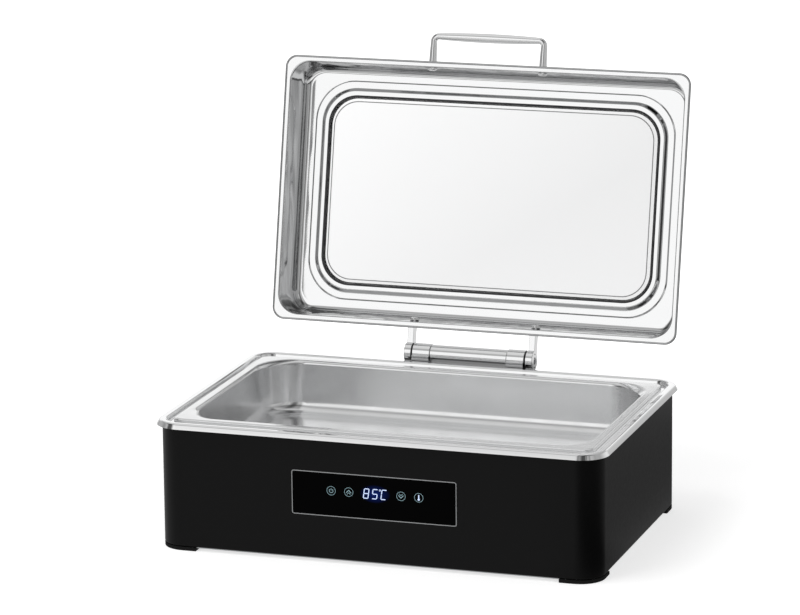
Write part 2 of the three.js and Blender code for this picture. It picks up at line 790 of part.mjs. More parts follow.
// Bottom plate: vent slots, screw holes and four bosses for the power board
const bossPlaces = [-1, 1].flatMap((sx) => [-1, 1].map((sy) => [
  powerBoardX + sx * (powerBoardLength / 2 - bossInset),
  powerBoardY + sy * (powerBoardWidth / 2 - bossInset),
]));
function basePlate() {
  const sheet = plate({
    length: housingLength - 2 * basePlateInset, width: housingWidth - 2 * basePlateInset,
    corner: housingCorner - basePlateInset, thickness: basePlateSheet, steps: cornerSteps,
  });
  const tools = quadrants.map(([, sx, sy]) => holeAlongZ(
    footScrewRadius + screwClearance, sx * footScrewX, sy * footScrewY,
    -cutOverrun, basePlateSheet + cutOverrun,
  ));
  const places = [[ventCentreX, ventCentreY], [ventCentreX, -ventCentreY], [-ventCentreX, -ventCentreY]];
  places.forEach(([x, y]) => {
    for (let i = 0; i < ventRows; i += 1) {
      const slot = plate({
        length: ventLength, width: ventWidth, corner: ventWidth / 2, z: -cutOverrun,
        thickness: basePlateSheet + 2 * cutOverrun, steps: 1,
      });
      tools.push(slot.translate(x, y + (i - (ventRows - 1) / 2) * ventPitch, 0));
    }
  });
  const bosses = bossPlaces.map(([x, y]) => rod(bossRadius, basePlateSheet / 2, basePlateSheet + bossHeight)
    .translate(x, y, 0));
  return join(cut(sheet, ...tools), ...bosses);
}
piece('base_plate', basePlate(), 'satinSteel');

// Corner feet: flush with the housing, each with a rim that hides the plate's edge
const footSeatZ = tableZ + footHeadHeight + seatGap;
function foot(sx, sy) {
  const level = (inset, z) => housingEdge(inset, z);
  const pad = loft([level(footChamfer, tableZ), level(0, tableZ + footChamfer), level(0, -seatGap)]);
  const rim = loft([
    level(0, -2 * seatGap), level(0, basePlateSheet),
    level(footRim, basePlateSheet), level(footRim, -2 * seatGap),
  ], { closed: true });
  const reach = footLength + footInnerCorner + cutOverrun;
  const window = plate({
    length: reach, width: reach, corner: footInnerCorner, z: tableZ - cutOverrun,
    thickness: footHeight + 2 * cutOverrun,
  });
  window.translate(
    sx * (housingLength / 2 - footLength + reach / 2), sy * (housingWidth / 2 - footLength + reach / 2), 0,
  );
  const x = sx * footScrewX;
  const y = sy * footScrewY;
  return cut(
    common(join(pad, rim), window),
    holeAlongZ(footHeadRadius + screwClearance, x, y, tableZ - cutOverrun, footSeatZ),
    holeAlongZ(footScrewRadius + screwClearance, x, y, tableZ, cutOverrun),
  );
}
quadrants.forEach(([corner, sx, sy]) => {
  piece('foot_' + corner, foot(sx, sy), 'rubber');
  const screw = domedScrew(footHeadRadius, footHeadHeight - seatGap, footScrewRadius, footScrewLength);
  screw.rotateX(Math.PI).translate(sx * footScrewX, sy * footScrewY, footSeatZ - seatGap);
  piece('foot_screw_' + corner, screw, 'zincPlate');
});

// Control panel, from the front: glass in a thin bezel, carrier, pads, display, board
const bezelBackY = frontInnerY + seatGap + bezelFlangeSheet;
const panelGlassY = frontY - bezelProud + panelGlassSetback;
const panelGlassBackY = panelGlassY + panelGlassThickness;
const carrierY = Math.max(bezelBackY, panelGlassBackY) + seatGap;
const boardFrontY = carrierY + carrierDepth + seatGap;
const controlBoardBackY = boardFrontY + boardThickness;
const iconZ = panelZ + displayRise;
function panelRing(inset, y) {
  const grown = Math.max(panelCorner - inset, bezelWidth / 2);
  return { hx: panelLength / 2 - inset, hy: panelHeight / 2 - inset, corner: grown, z: y };
}
function bezel() {
  const front = frontY - bezelProud;
  const seatY = frontInnerY + seatGap;
  return loft([
    panelRing(0, front), panelRing(0, seatY),
    panelRing(-bezelFlange, seatY), panelRing(-bezelFlange, bezelBackY),
    panelRing(bezelWidth, bezelBackY), panelRing(bezelWidth, front),
  ], { steps: panelCornerSteps, closed: true });
}
const facePanel = (geometry) => alongBack(geometry).translate(0, 0, panelZ);
piece('control_bezel', facePanel(bezel()), 'satinSteel');

piece('control_glass', facePanel(plate({
  length: panelLength - 2 * (bezelWidth + seatGap), width: panelHeight - 2 * (bezelWidth + seatGap),
  corner: panelCorner - bezelWidth, z: panelGlassY, thickness: panelGlassThickness, bevel: panelGlassBevel,
})), 'blackGlass');

piece('control_carrier', facePanel(loft([
  panelRing(-bezelFlange, carrierY), panelRing(-bezelFlange, carrierY + carrierDepth),
  panelRing(carrierWall - bezelFlange, carrierY + carrierDepth),
  panelRing(carrierWall - bezelFlange, carrierY),
], { steps: panelCornerSteps, closed: true })), 'blackPlastic');

piece('control_board', facePanel(plate({
  length: panelLength + 2 * (bezelFlange - controlBoardMargin),
  width: panelHeight + 2 * (bezelFlange - controlBoardMargin),
  corner: panelCorner, z: boardFrontY, thickness: boardThickness,
})), 'circuitBoard');

const stackY = panelGlassBackY + seatGap;
piece('display_module', block(
  displayCentreX - displayLength / 2, displayCentreX + displayLength / 2,
  stackY, boardFrontY - seatGap, iconZ - displayHeight / 2, iconZ + displayHeight / 2,
), 'blackPlastic');
touchPadXs.forEach((x, i) => {
  const pad = alongBack(rod(touchPadRadius, stackY, boardFrontY - seatGap)).translate(x, 0, iconZ);
  piece('touch_pad_' + touchPadNames[i], pad, 'silicone');
});

// Heater: plate under the water pan, bent tube, strap on a stud, nut, probe, cut-out
const studHole = studRadius + screwClearance;
piece('heater_plate', cut(
  plate({
    length: heaterPlateLength, width: heaterPlateWidth, corner: heaterPlateCorner,
    z: heaterPlateZ, thickness: heaterPlateThickness,
  }),
  holeAlongZ(studHole, 0, 0, heaterPlateZ - cutOverrun, heaterPlateZ + heaterPlateThickness + cutOverrun),
), 'aluminium');

function heaterTube() {
  const hx = heaterLoopLength / 2;
  const hy = heaterLoopWidth / 2;
  const endY = hy + heaterTerminalReach;
  const corners = [
    [-heaterTerminalHalfGap, endY], [-heaterTerminalHalfGap, hy], [-hx, hy], [-hx, -hy],
    [hx, -hy], [hx, hy], [heaterTerminalHalfGap, hy], [heaterTerminalHalfGap, endY],
  ].map(([x, y]) => point(x, y, heaterTubeZ));
  return sweep(route(corners, heaterLoopBend), circle(heaterTubeRadius, smallSides), upward);
}
piece('heating_tube', heaterTube(), 'satinSteel');

piece('heater_strap', cut(
  block(
    -heaterLoopLength / 2 - strapOverlap, heaterLoopLength / 2 + strapOverlap,
    -strapWidth / 2, strapWidth / 2, strapZ, strapZ + strapThickness,
  ),
  holeAlongZ(studHole, 0, 0, strapZ - cutOverrun, strapZ + strapThickness + cutOverrun),
), 'zincPlate');
const nutTopZ = strapZ - seatGap;
piece('strap_nut', cut(
  rod(nutRadius, nutTopZ - nutHeight, nutTopZ, nutSides),
  holeAlongZ(studHole, 0, 0, nutTopZ - nutHeight - cutOverrun, nutTopZ + cutOverrun),
), 'zincPlate');

piece('temperature_probe', alongX(rod(probeRadius, -probeLength / 2, probeLength / 2))
  .translate(probeX, probeY, waterFloorZ - seatGap - probeRadius), 'satinSteel');

const cutoutTopZ = heaterPlateZ - seatGap;
piece('thermal_cutout', turned([
  [0, cutoutTopZ], [cutoutFlangeRadius, cutoutTopZ], [cutoutFlangeRadius, cutoutTopZ - cutoutFlangeSheet],
  [cutoutRadius, cutoutTopZ - cutoutFlangeSheet], [cutoutRadius, cutoutTopZ - cutoutHeight],
  [0, cutoutTopZ - cutoutHeight],
], smallSides).translate(cutoutX, cutoutY, 0), 'blackPlastic');

// Power board on the bosses, with its relay and transformer
const powerBoardZ = basePlateSheet + bossHeight + seatGap;
const powerBoardTopZ = powerBoardZ + boardThickness;
piece('power_board', plate({
  length: powerBoardLength, width: powerBoardWidth, corner: panelCorner,
  z: powerBoardZ, thickness: boardThickness,
}).translate(powerBoardX, powerBoardY, 0), 'circuitBoard');

function component(x, y, length, width, height) {
  const z = powerBoardTopZ + seatGap;
  return block(x - length / 2, x + length / 2, y - width / 2, y + width / 2, z, z + height);
}
const relayX = powerBoardX + powerBoardLength / 2 - relayLength;
const relayY = powerBoardY - powerBoardWidth / 2 + relayWidth;
piece('relay', component(relayX, relayY, relayLength, relayWidth, relayHeight), 'componentBlue');
const transformerX = powerBoardX - powerBoardLength / 2 + transformerLength;
const transformerY = powerBoardY - powerBoardWidth / 2 + transformerWidth;
piece('transformer', component(
  transformerX, transformerY, transformerLength, transformerWidth, transformerHeight,
), 'componentYellow');

// Rear inlet: snapped into the wall, with a mouth for the plug and three pins
const inletZ = tableZ + inletHeight;
const inletY = rearY + seatGap;
const inletBackY = inletY - inletBodyDepth;
const inletFloorY = inletY + inletFaceThickness - inletMouthDepth;
const pinPlaces = [
  ['inlet_pin_live', pinSpacing / 2, -pinDrop],
  ['inlet_pin_neutral', -pinSpacing / 2, -pinDrop],
  ['inlet_pin_earth', 0, earthPinRise - pinDrop],
];
function pinBlock([, x, z], y0, y1, growth) {
  const hx = pinWidth / 2 + growth;
  const hz = pinHeight / 2 + growth;
  return block(inletX + x - hx, inletX + x + hx, y0, y1, inletZ + z - hz, inletZ + z + hz);
}
function inlet() {
  const face = plate({
    length: inletFaceWidth, width: inletFaceHeight, corner: inletFaceCorner,
    z: inletY, thickness: inletFaceThickness, bevel: inletFaceBevel,
  });
  const body = plate({
    length: inletBodyWidth, width: inletBodyHeight, corner: inletMouthCorner,
    z: inletBackY, thickness: inletBodyDepth + inletFaceThickness / 2,
  });
  const mouth = plate({
    length: inletMouthWidth, width: inletMouthHeight, corner: inletMouthCorner,
    z: inletFloorY, thickness: inletMouthDepth + cutOverrun,
  });
  const turn = (geometry) => alongBack(geometry).translate(inletX, 0, inletZ);
  const slots = pinPlaces.map((pin) => pinBlock(
    pin, inletBackY - cutOverrun, inletFloorY + cutOverrun, seatGap,
  ));
  return cut(join(turn(face), turn(body)), turn(mouth), ...slots);
}
piece('power_inlet', inlet(), 'blackPlastic');
pinPlaces.forEach((pin) => {
  piece(pin[0], pinBlock(pin, inletBackY - pinTail, inletFloorY + pinReach, 0), 'brass');
});

// Inner leads: mains lead to the board, heater lead to the tube, ribbon to the panel
const mainsLeadX = powerBoardX - powerBoardLength / 4;
function mainsLead() {
  const start = inletBackY - pinTail - seatGap;
  const landingZ = powerBoardTopZ + seatGap;
  return sweep(route([
    point(inletX, start, inletZ),
    point(inletX, start - 2 * leadBend, inletZ),
    point(mainsLeadX, powerBoardY + powerBoardWidth / 4, inletZ),
    point(mainsLeadX, powerBoardY + powerBoardWidth / 4, landingZ),
  ], leadBend), circle(mainsLeadRadius, smallSides), upward);
}
piece('mains_lead', mainsLead(), 'leadJacket');

function heaterLead() {
  const landingZ = powerBoardTopZ + seatGap;
  const startX = powerBoardX + powerBoardLength / 4;
  const startY = powerBoardY + powerBoardWidth / 4;
  const endY = heaterLoopWidth / 2 + heaterTerminalReach + seatGap;
  return sweep(route([
    point(startX, startY, landingZ),
    point(startX, startY, landingZ + leadRise + 2 * leadBend),
    point(-heaterTerminalHalfGap, startY, landingZ + leadRise + 2 * leadBend),
    point(-heaterTerminalHalfGap, endY + 2 * leadBend, heaterTubeZ - leadBend),
    point(-heaterTerminalHalfGap, endY + leadBend, heaterTubeZ),
    point(-heaterTerminalHalfGap, endY, heaterTubeZ),
  ], leadBend), circle(heaterLeadRadius, smallSides), point(0, 1, 0));
}
piece('heater_lead', heaterLead(), 'leadJacket');

function panelRibbon() {
  const y0 = controlBoardBackY + seatGap;
  const lowZ = basePlateSheet + seatGap + ribbonThickness / 2 + leadRise;
  const turnY = y0 + 2 * ribbonBend;
  const boardX = powerBoardX + powerBoardLength / 4;
  const section = [
    [-ribbonWidth / 2, -ribbonThickness / 2], [ribbonWidth / 2, -ribbonThickness / 2],
    [ribbonWidth / 2, ribbonThickness / 2], [-ribbonWidth / 2, ribbonThickness / 2],
  ];
  return sweep(route([
    point(boardX * ribbonShare, y0, panelZ),
    point(boardX * ribbonShare, turnY, panelZ),
    point(boardX * ribbonShare, turnY, lowZ),
    point(boardX, turnY + powerBoardWidth / 2, lowZ),
    point(boardX, powerBoardY - powerBoardWidth / 2 - ribbonBend * 2, lowZ),
    point(boardX, powerBoardY - powerBoardWidth / 2 - seatGap, powerBoardZ + boardThickness / 2),
  ], ribbonBend), section, upward);
}
piece('panel_ribbon', panelRibbon(), 'ribbonGrey');

// Hinge bracket: plate on the rear wall, two lugs stepped behind the skirt, two rings
const shaftRun = shaftRadius + seatGap;
const ringBore = shaftRun + bushWall + seatGap;
function lugShape() {
  const shape = new THREE.Shape();
  const stepY = skirtWidth / 2 + bracketStepGap;
  shape.moveTo(bracketY, bracketTopZ - lugFoot);
  shape.lineTo(bracketY, bracketTopZ);
  shape.lineTo(stepY, bracketTopZ);
  shape.lineTo(stepY, hingeZ);
  shape.lineTo(hingeY + ringRadius, hingeZ);
  const rearRoot = bracketY + bracketSheet;
  shape.quadraticCurveTo(hingeY + ringRadius, bracketTopZ - lugFoot / 2, rearRoot, bracketTopZ - lugFoot);
  shape.closePath();
  return shape;
}
// A section drawn in Y and Z, run along X from x0 to x1
function extrudeX(shape, x0, x1, curveSegments = curveSteps) {
  const geometry = new THREE.ExtrudeGeometry(shape, { depth: x1 - x0, bevelEnabled: false, curveSegments });
  return weld(geometry.rotateY(Math.PI / 2).rotateX(Math.PI / 2).translate(x0, 0, 0));
}
function hingeBracket() {
  const back = alongBack(plate({
    length: bracketLength, width: bracketHeight, corner: bracketCorner,
    z: bracketY, thickness: bracketSheet, bevel: bracketBevel,
  })).translate(0, 0, bracketZ + bracketHeight / 2);
  const parts = [-1, 1].flatMap((side) => {
    const [x0, x1] = [side * ringStart, side * ringEnd].sort((a, b) => a - b);
    const ring = alongX(rod(ringRadius, x0, x1, roundSides)).translate(0, hingeY, hingeZ);
    return [extrudeX(lugShape(), x0, x1), ring];
  });
  const bores = [-1, 1].map((side) => alongX(rod(
    ringBore, side > 0 ? ringStart - cutOverrun : -ringEnd - cutOverrun,
    side > 0 ? ringEnd + cutOverrun : -ringStart + cutOverrun, roundSides,
  )).translate(0, hingeY, hingeZ));
  const holes = boltPlaces.map(([x, z]) => holeAlongY(
    boltRadius + screwClearance, x, z, bracketY - cutOverrun, bracketY + bracketSheet + cutOverrun,
  ));
  return cut(join(back, ...parts), ...bores, ...holes);
}
piece('hinge_bracket', hingeBracket(), 'polishedSteel');

piece('bracket_backing_plate', cut(
  block(
    -bracketLength / 2, bracketLength / 2, backingY, backingY + backingSheet,
    bracketZ, bracketZ + bracketHeight,
  ),
  ...boltPlaces.map(([x, z]) => holeAlongY(
    boltRadius + screwClearance, x, z, backingY - cutOverrun, backingY + backingSheet + cutOverrun,
  )),
), 'zincPlate');
const boltLength = bracketSheet + housingSheet + backingSheet + 4 * seatGap + boltTail;
boltPlaces.forEach(([x, z], i) => {
  const bolt = domedScrew(boltHeadRadius, boltHeadHeight, boltRadius, boltLength);
  const seated = alongBack(bolt).translate(x, bracketY + bracketSheet + seatGap, z);
  piece('bracket_bolt_' + (i + 1), seated, 'polishedSteel');
});

// Hinge barrel, its damper and the bushes in the rings
const onAxis = (geometry) => alongX(geometry).translate(0, hingeY, hingeZ);
piece('hinge_barrel', onAxis(sleeve(
  barrelRadius, ringBore, -barrelHalfLength, barrelHalfLength, barrelChamfer,
)), 'polishedSteel');
piece('hinge_damper', onAxis(sleeve(
  shaftRun + damperWall, shaftRun, -damperLength / 2, damperLength / 2, 0, roundSides,
)), 'aluminium');
function bush() {
  const flange0 = ringEnd + seatGap;
  const flange1 = hubStart - seatGap;
  return turned([
    [shaftRun, ringStart], [shaftRun + bushWall, ringStart], [shaftRun + bushWall, flange0],
    [bushFlangeRadius, flange0], [bushFlangeRadius, flange1], [shaftRun, flange1], [shaftRun, ringStart],
  ]);
}
piece('hinge_bush_right', onAxis(bush()), 'blackPlastic');
piece('hinge_bush_left', mirrorX(onAxis(bush())), 'blackPlastic');

// Everything below turns with the lid. It is drawn closed, from the hinge axis.
const lidRimZ = panRimZ + lidSeat - hingeZ;
const lidCentreY = lidSetback - hingeY;
const inLid = (geometry) => geometry.translate(0, lidCentreY, lidRimZ);
const lidX = lidLength / 2;
const lidY = lidWidth / 2;
const wallTopInset = lidFlange + (lidDepth - lidHemRadius) * Math.tan(lidDraft);
const crownInset = wallTopInset + lidShoulderBend;
const creaseInset = crownInset + lidCrownWidth;
const terraceInset = creaseInset + creaseWidth;
const slopeInset = terraceInset + terraceWidth;
const shelfInset = slopeInset + slopeWidth;
const windowInset = shelfInset + shelfWidth;
const terraceHeight = lidDepth - creaseDrop;
const shelfHeight = terraceHeight - slopeDrop;
const armX = (hubStart + hubEnd) / 2;
const recessCorner = (inset) => creaseCorner - cornerShare * (inset - creaseInset);

function lidEdge(inset, z, corner, bend) {
  return { hx: lidX - inset, hy: lidY - inset, corner, z, bend };
}

function lidScrewHole(x, wallY, height) {
  const hole = rod(lidScrewRadius + screwClearance, -lidHoleReach, lidHoleReach);
  return alongBack(hole).translate(x, wallY, height);
}

// The shell leans a little, so that its crown sits nearer to the handle
const leaned = (geometry) => geometry.applyMatrix4(new THREE.Matrix4().makeShear(0, 0, 0, 0, 0, -lidLean));

// The wall's outer face on a side: how far it lies inside the rim edge at a height
function wallInset(side, height) {
  const start = lidFlange - lidSheet / 2 / Math.cos(lidDraft);
  return start + (height - lidHemRadius) * Math.tan(lidDraft) + side * lidLean * height;
}
const frontInset = (height) => wallInset(-1, height);
const rearInset = (height) => wallInset(1, height);

function lidShell() {
  const sheet = leaned(sheetBody([
    lidEdge(lidHemRadius, lidHemRadius, lidFlangeCorner - lidHemRadius),
    lidEdge(lidFlange, lidHemRadius, lidWallCorner, lidWallBend),
    lidEdge(wallTopInset, lidDepth, lidShoulderCorner, lidShoulderBend),
    lidEdge(crownInset, lidDepth, lidCrownCorner),
    lidEdge(creaseInset, lidDepth, creaseCorner),
    lidEdge(terraceInset, terraceHeight, recessCorner(terraceInset)),
    lidEdge(slopeInset, terraceHeight, recessCorner(slopeInset)),
    lidEdge(shelfInset, shelfHeight, recessCorner(shelfInset)),
    lidEdge(windowInset, shelfHeight, recessCorner(windowInset)),
  ], lidSheet, { open: true, hem: lidHemRadius }));
  const holes = [-1, 1].flatMap((side) => [
    lidScrewHole(side * handleSpan / 2, -lidY + frontInset(handleDepth), handleDepth),
    lidScrewHole(side * armX, lidY - rearInset(armScrewDepth), armScrewDepth),
  ]);
  return cut(sheet, ...holes);
}
piece('lid_shell', inLid(lidShell()), 'polishedSteel', lid);

// Window: a seal whose lips hold the shell's edge and the glass, and the glass
const lipZ = shelfHeight - lidSheet / 2 - seatGap;
const glassZ = lipZ + seatGap;
const webInset = windowInset + seatGap;
const webEndInset = webInset + sealWeb;
const glassInset = webEndInset + seatGap;
const windowRing = (inset, z) => lidEdge(inset, z, recessCorner(inset));
function glassSeal() {
  const lip = { out: webInset - sealLipOut, in: webEndInset + sealLipIn, z: lipZ - sealLip };
  const capZ = glassZ + windowGlassThickness + seatGap;
  const cap = { out: webInset - sealCapOut, in: webEndInset + sealCapIn, z: capZ + sealCap };
  const shellTop = shelfHeight + lidSheet / 2 + seatGap;
  return leaned(loft([
    windowRing(lip.out, lipZ), windowRing(lip.out, lip.z + sealChamfer),
    windowRing(lip.out + sealChamfer, lip.z), windowRing(lip.in - sealChamfer, lip.z),
    windowRing(lip.in, lip.z + sealChamfer), windowRing(lip.in, lipZ),
    windowRing(webEndInset, lipZ), windowRing(webEndInset, capZ),
    windowRing(cap.in, capZ), windowRing(cap.in, cap.z - sealChamfer),
    windowRing(cap.in - sealChamfer, cap.z), windowRing(cap.out + sealChamfer, cap.z),
    windowRing(cap.out, cap.z - sealChamfer), windowRing(cap.out, shellTop),
    windowRing(webInset, shellTop), windowRing(webInset, lipZ),
  ], { closed: true }));
}
piece('glass_seal', inLid(glassSeal()), 'silicone', lid);

function windowGlass() {
  const top = glassZ + windowGlassThickness;
  return leaned(loft([
    windowRing(glassInset + paneRim + paneSlope, glassZ - paneRise),
    windowRing(glassInset + paneRim, glassZ),
    windowRing(glassInset + windowGlassBevel, glassZ), windowRing(glassInset, glassZ + windowGlassBevel),
    windowRing(glassInset, top - windowGlassBevel), windowRing(glassInset + windowGlassBevel, top),
  ]));
}
piece('lid_glass', inLid(windowGlass()), 'windowGlass', lid);

// Handle: two feet on the front wall, necks, bends and a grip that swells
function handleStations() {
  const x = handleSpan / 2;
  const footY = -lidY + frontInset(handleDepth) + cutOverrun;
  const barY = -lidY - handleReach;
  const corners = [
    point(-x, footY, handleDepth), point(-x, barY, handleDepth),
    point(x, barY, handleDepth), point(x, footY, handleDepth),
  ];
  const bends = route(corners, handleBend);
  const half = bends.length / 2;
  const left = bends.slice(0, half);
  const right = bends.slice(half);
  const scaled = (station, radius) => ({ ...station, scale: radius / handleFootRadius });
  const bendStart = left[1].at.y;
  const neck = (sign) => {
    const y = footY + (bendStart - footY) * handleNeckShare;
    return scaled({ at: point(sign * x, y, handleDepth), along: point(0, sign, 0) }, handleNeckRadius);
  };
  const grip = [];
  const gripX = x - handleBend;
  for (let i = 1; i < handleGripStations; i += 1) {
    const t = i / handleGripStations;
    const swell = Math.sin(Math.PI * t) ** gripSwellPower;
    const radius = handleBendRadius + (handleGripRadius - handleBendRadius) * swell;
    const at = point(-gripX + 2 * gripX * t, barY, handleDepth);
    grip.push(scaled({ at, along: point(1, 0, 0) }, radius));
  }
  const bent = (stations) => stations.map((station) => scaled(station, handleBendRadius));
  return [
    scaled(left[0], handleFootRadius), neck(-1), ...bent(left.slice(1)),
    ...grip,
    ...bent(right.slice(0, -1)), neck(1), scaled(right.at(-1), handleFootRadius),
  ];
}

// A cutting tool that fills the lid behind its front wall's outer face and the gap
function wallTool(x0, x1) {
  const shape = new THREE.Shape();
  const face = (height) => -lidY + frontInset(height) - seatGap;
  shape.moveTo(face(0), 0);
  shape.lineTo(0, 0);
  shape.lineTo(0, lidDepth);
  shape.lineTo(face(lidDepth), lidDepth);
  shape.closePath();
  return extrudeX(shape, x0, x1);
}
function lidScrewAt(x, wallY, height, side, length) {
  const screw = domedScrew(lidScrewHeadRadius, lidScrewHeadHeight, lidScrewRadius, length);
  const laid = side < 0 ? alongBack(screw) : alongFront(screw);
  return laid.translate(x, wallY, height);
}
// From a wall's outer face to a flat screw head that clears its inner face
function headInset(side) {
  const tilt = lidScrewHeadRadius * (Math.tan(lidDraft) + side * lidLean);
  return lidSheet / Math.cos(lidDraft) + seatGap + tilt;
}
function handle() {
  const body = sweep(handleStations(), circle(handleFootRadius, handleSides), upward);
  const wallY = -lidY + frontInset(handleDepth);
  const bores = [-1, 1].map((side) => alongBack(rod(
    lidScrewRadius + screwClearance,
    wallY - lidScrewLength - lidScrewDepthClearance, wallY + 2 * cutOverrun,
  )).translate(side * handleSpan / 2, 0, handleDepth));
  return cut(body, wallTool(-lidX, lidX), ...bores);
}
piece('lid_handle', inLid(handle()), 'polishedSteel', lid);
[['left', -1], ['right', 1]].forEach(([side, sign]) => {
  const y = -lidY + frontInset(handleDepth) + headInset(-1);
  const screw = lidScrewAt(sign * handleSpan / 2, y, handleDepth, -1, lidScrewLength);
  piece('handle_screw_' + side, inLid(screw), 'polishedSteel', lid);
});

// Hinge arms: hub on the shaft, bar over the rim, pad against the lid's rear wall
const armLow = lidRimZ + 2 * lidHemRadius + seatGap + screwClearance;
const armHigh = armLow + armThickness;
const padEndY = (height) => lidCentreY + lidY - rearInset(height - lidRimZ) + seatGap;
function armShape() {
  const shape = new THREE.Shape();
  const padTop = armLow + armPadHeight;
  const padBack = padEndY(armLow) + armPadThickness;
  shape.moveTo(padEndY(armLow), armLow);
  shape.lineTo(0, armLow);
  shape.lineTo(armRootReach, armHigh * armRootShare);
  shape.quadraticCurveTo(armRootReach * armRootShare, armHigh, -armRootReach, armHigh);
  shape.lineTo(padBack + armPadThickness, armHigh);
  shape.quadraticCurveTo(padBack, armHigh, padBack, padTop - armPadThickness / 2);
  shape.lineTo(padBack - armPadThickness / 2, padTop);
  shape.lineTo(padEndY(padTop), padTop);
  shape.closePath();
  return shape;
}
function padShape() {
  const shape = new THREE.Shape();
  const padTop = armLow + armPadHeight;
  shape.moveTo(padEndY(armLow), armLow);
  shape.lineTo(padEndY(armLow) + armPadThickness, armLow);
  shape.lineTo(padEndY(armLow) + armPadThickness, padTop - armPadThickness / 2);
  shape.lineTo(padEndY(armLow) + armPadThickness / 2, padTop);
  shape.lineTo(padEndY(padTop), padTop);
  shape.closePath();
  return shape;
}
function hingeArm() {
  const hub = alongX(turned([
    [0, hubStart], [ringRadius, hubStart], [ringRadius, hubEnd - hubChamfer],
    [ringRadius - hubChamfer, hubEnd], [0, hubEnd],
  ]));
  const bar = extrudeX(armShape(), armX - armWidth / 2, armX + armWidth / 2);
  const pad = extrudeX(padShape(), armX - armPadWidth / 2, armX + armPadWidth / 2);
  const shaftEnd = hubEnd - shaftEndInset;
  const slots = [-1, 1].map((side) => block(
    hubEnd - faceSlotDepth, hubEnd + cutOverrun,
    side * faceSlotOffset - faceSlotWidth / 2, side * faceSlotOffset + faceSlotWidth / 2,
    -faceSlotLength / 2, faceSlotLength / 2,
  ));
  const headFloor = hubEnd - shaftHeadHeight - seatGap;
  const tools = [
    alongX(rod(shaftRun, hubStart - cutOverrun, shaftEnd, roundSides)),
    alongX(rod(shaftScrewRadius + screwClearance, hubStart, hubEnd)),
    alongX(rod(shaftHeadRadius + screwClearance, headFloor, hubEnd + cutOverrun, roundSides / 2)),
    alongBack(rod(
      lidScrewRadius + screwClearance, padEndY(armLow + armPadHeight) - cutOverrun,
      padEndY(armScrewDepth + lidRimZ) + armScrewLength + lidScrewDepthClearance,
    )).translate(armX, 0, armScrewDepth + lidRimZ),
    ...slots,
  ];
  return cut(join(hub, bar, pad), ...tools);
}
piece('hinge_arm_right', hingeArm(), 'polishedSteel', lid);
piece('hinge_arm_left', mirrorX(hingeArm()), 'polishedSteel', lid);
[['left', -1], ['right', 1]].forEach(([side, sign]) => {
  const y = lidY - rearInset(armScrewDepth) - headInset(1);
  const screw = lidScrewAt(sign * armX, y, armScrewDepth, 1, armScrewLength);
  piece('arm_screw_' + side, inLid(screw), 'polishedSteel', lid);
});

// Shaft through the hinge, tapped at both ends for its screws
function shaft() {
  const end = hubEnd - shaftEndInset - seatGap;
  const tap = shaftScrewRadius + screwClearance;
  const depth = shaftScrewLength + lidScrewDepthClearance;
  const body = rod(shaftRadius, -end, end, roundSides / 2);
  return alongX(cut(
    body, rod(tap, end - depth, end + cutOverrun), rod(tap, -end - cutOverrun, -end + depth),
  ));
}
piece('hinge_shaft', shaft(), 'satinSteel', lid);
function shaftScrew() {
  const screw = domedScrew(shaftHeadRadius, shaftHeadHeight - seatGap, shaftScrewRadius, shaftScrewLength);
  return alongX(screw.translate(0, 0, hubEnd - shaftHeadHeight));
}
piece('shaft_screw_right', shaftScrew(), 'satinSteel', lid);
piece('shaft_screw_left', mirrorX(shaftScrew()), 'satinSteel', lid);

export default group;
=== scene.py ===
# %% [markdown]
# # An electric chafing dish
# The dish is a black heated stand that holds a water pan and a food pan, under a polished
# lid that stands open on a damped hinge. The CAD model gives every place and size. Here the
# pieces that show are made again with fine bends and smooth walls, and each gets a finish.

# %% Load the frame
import json
import math

import bmesh
import bpy
from mathutils import Matrix, Vector


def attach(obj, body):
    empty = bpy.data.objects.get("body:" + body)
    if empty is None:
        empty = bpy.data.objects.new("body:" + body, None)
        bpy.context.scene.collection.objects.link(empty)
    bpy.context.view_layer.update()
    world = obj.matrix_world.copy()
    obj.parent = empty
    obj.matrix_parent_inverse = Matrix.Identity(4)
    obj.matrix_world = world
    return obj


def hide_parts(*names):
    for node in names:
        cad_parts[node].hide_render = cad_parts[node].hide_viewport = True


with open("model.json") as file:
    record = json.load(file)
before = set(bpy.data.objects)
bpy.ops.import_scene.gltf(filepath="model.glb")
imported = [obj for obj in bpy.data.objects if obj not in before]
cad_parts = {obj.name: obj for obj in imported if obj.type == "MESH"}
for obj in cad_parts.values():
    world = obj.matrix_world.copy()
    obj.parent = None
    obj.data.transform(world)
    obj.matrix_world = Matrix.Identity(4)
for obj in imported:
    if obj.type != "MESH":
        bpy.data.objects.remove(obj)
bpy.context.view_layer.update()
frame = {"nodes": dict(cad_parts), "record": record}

# %% [markdown]
# ## Sizes
# A sheet-metal product is described by its bends, so every piece here is drawn in
# millimetres from a short list of bend lines, and scaled to metres once, when it is
# finished. A few sizes are shared by several pieces and stand here. The rest are given
# beside the piece that they belong to.

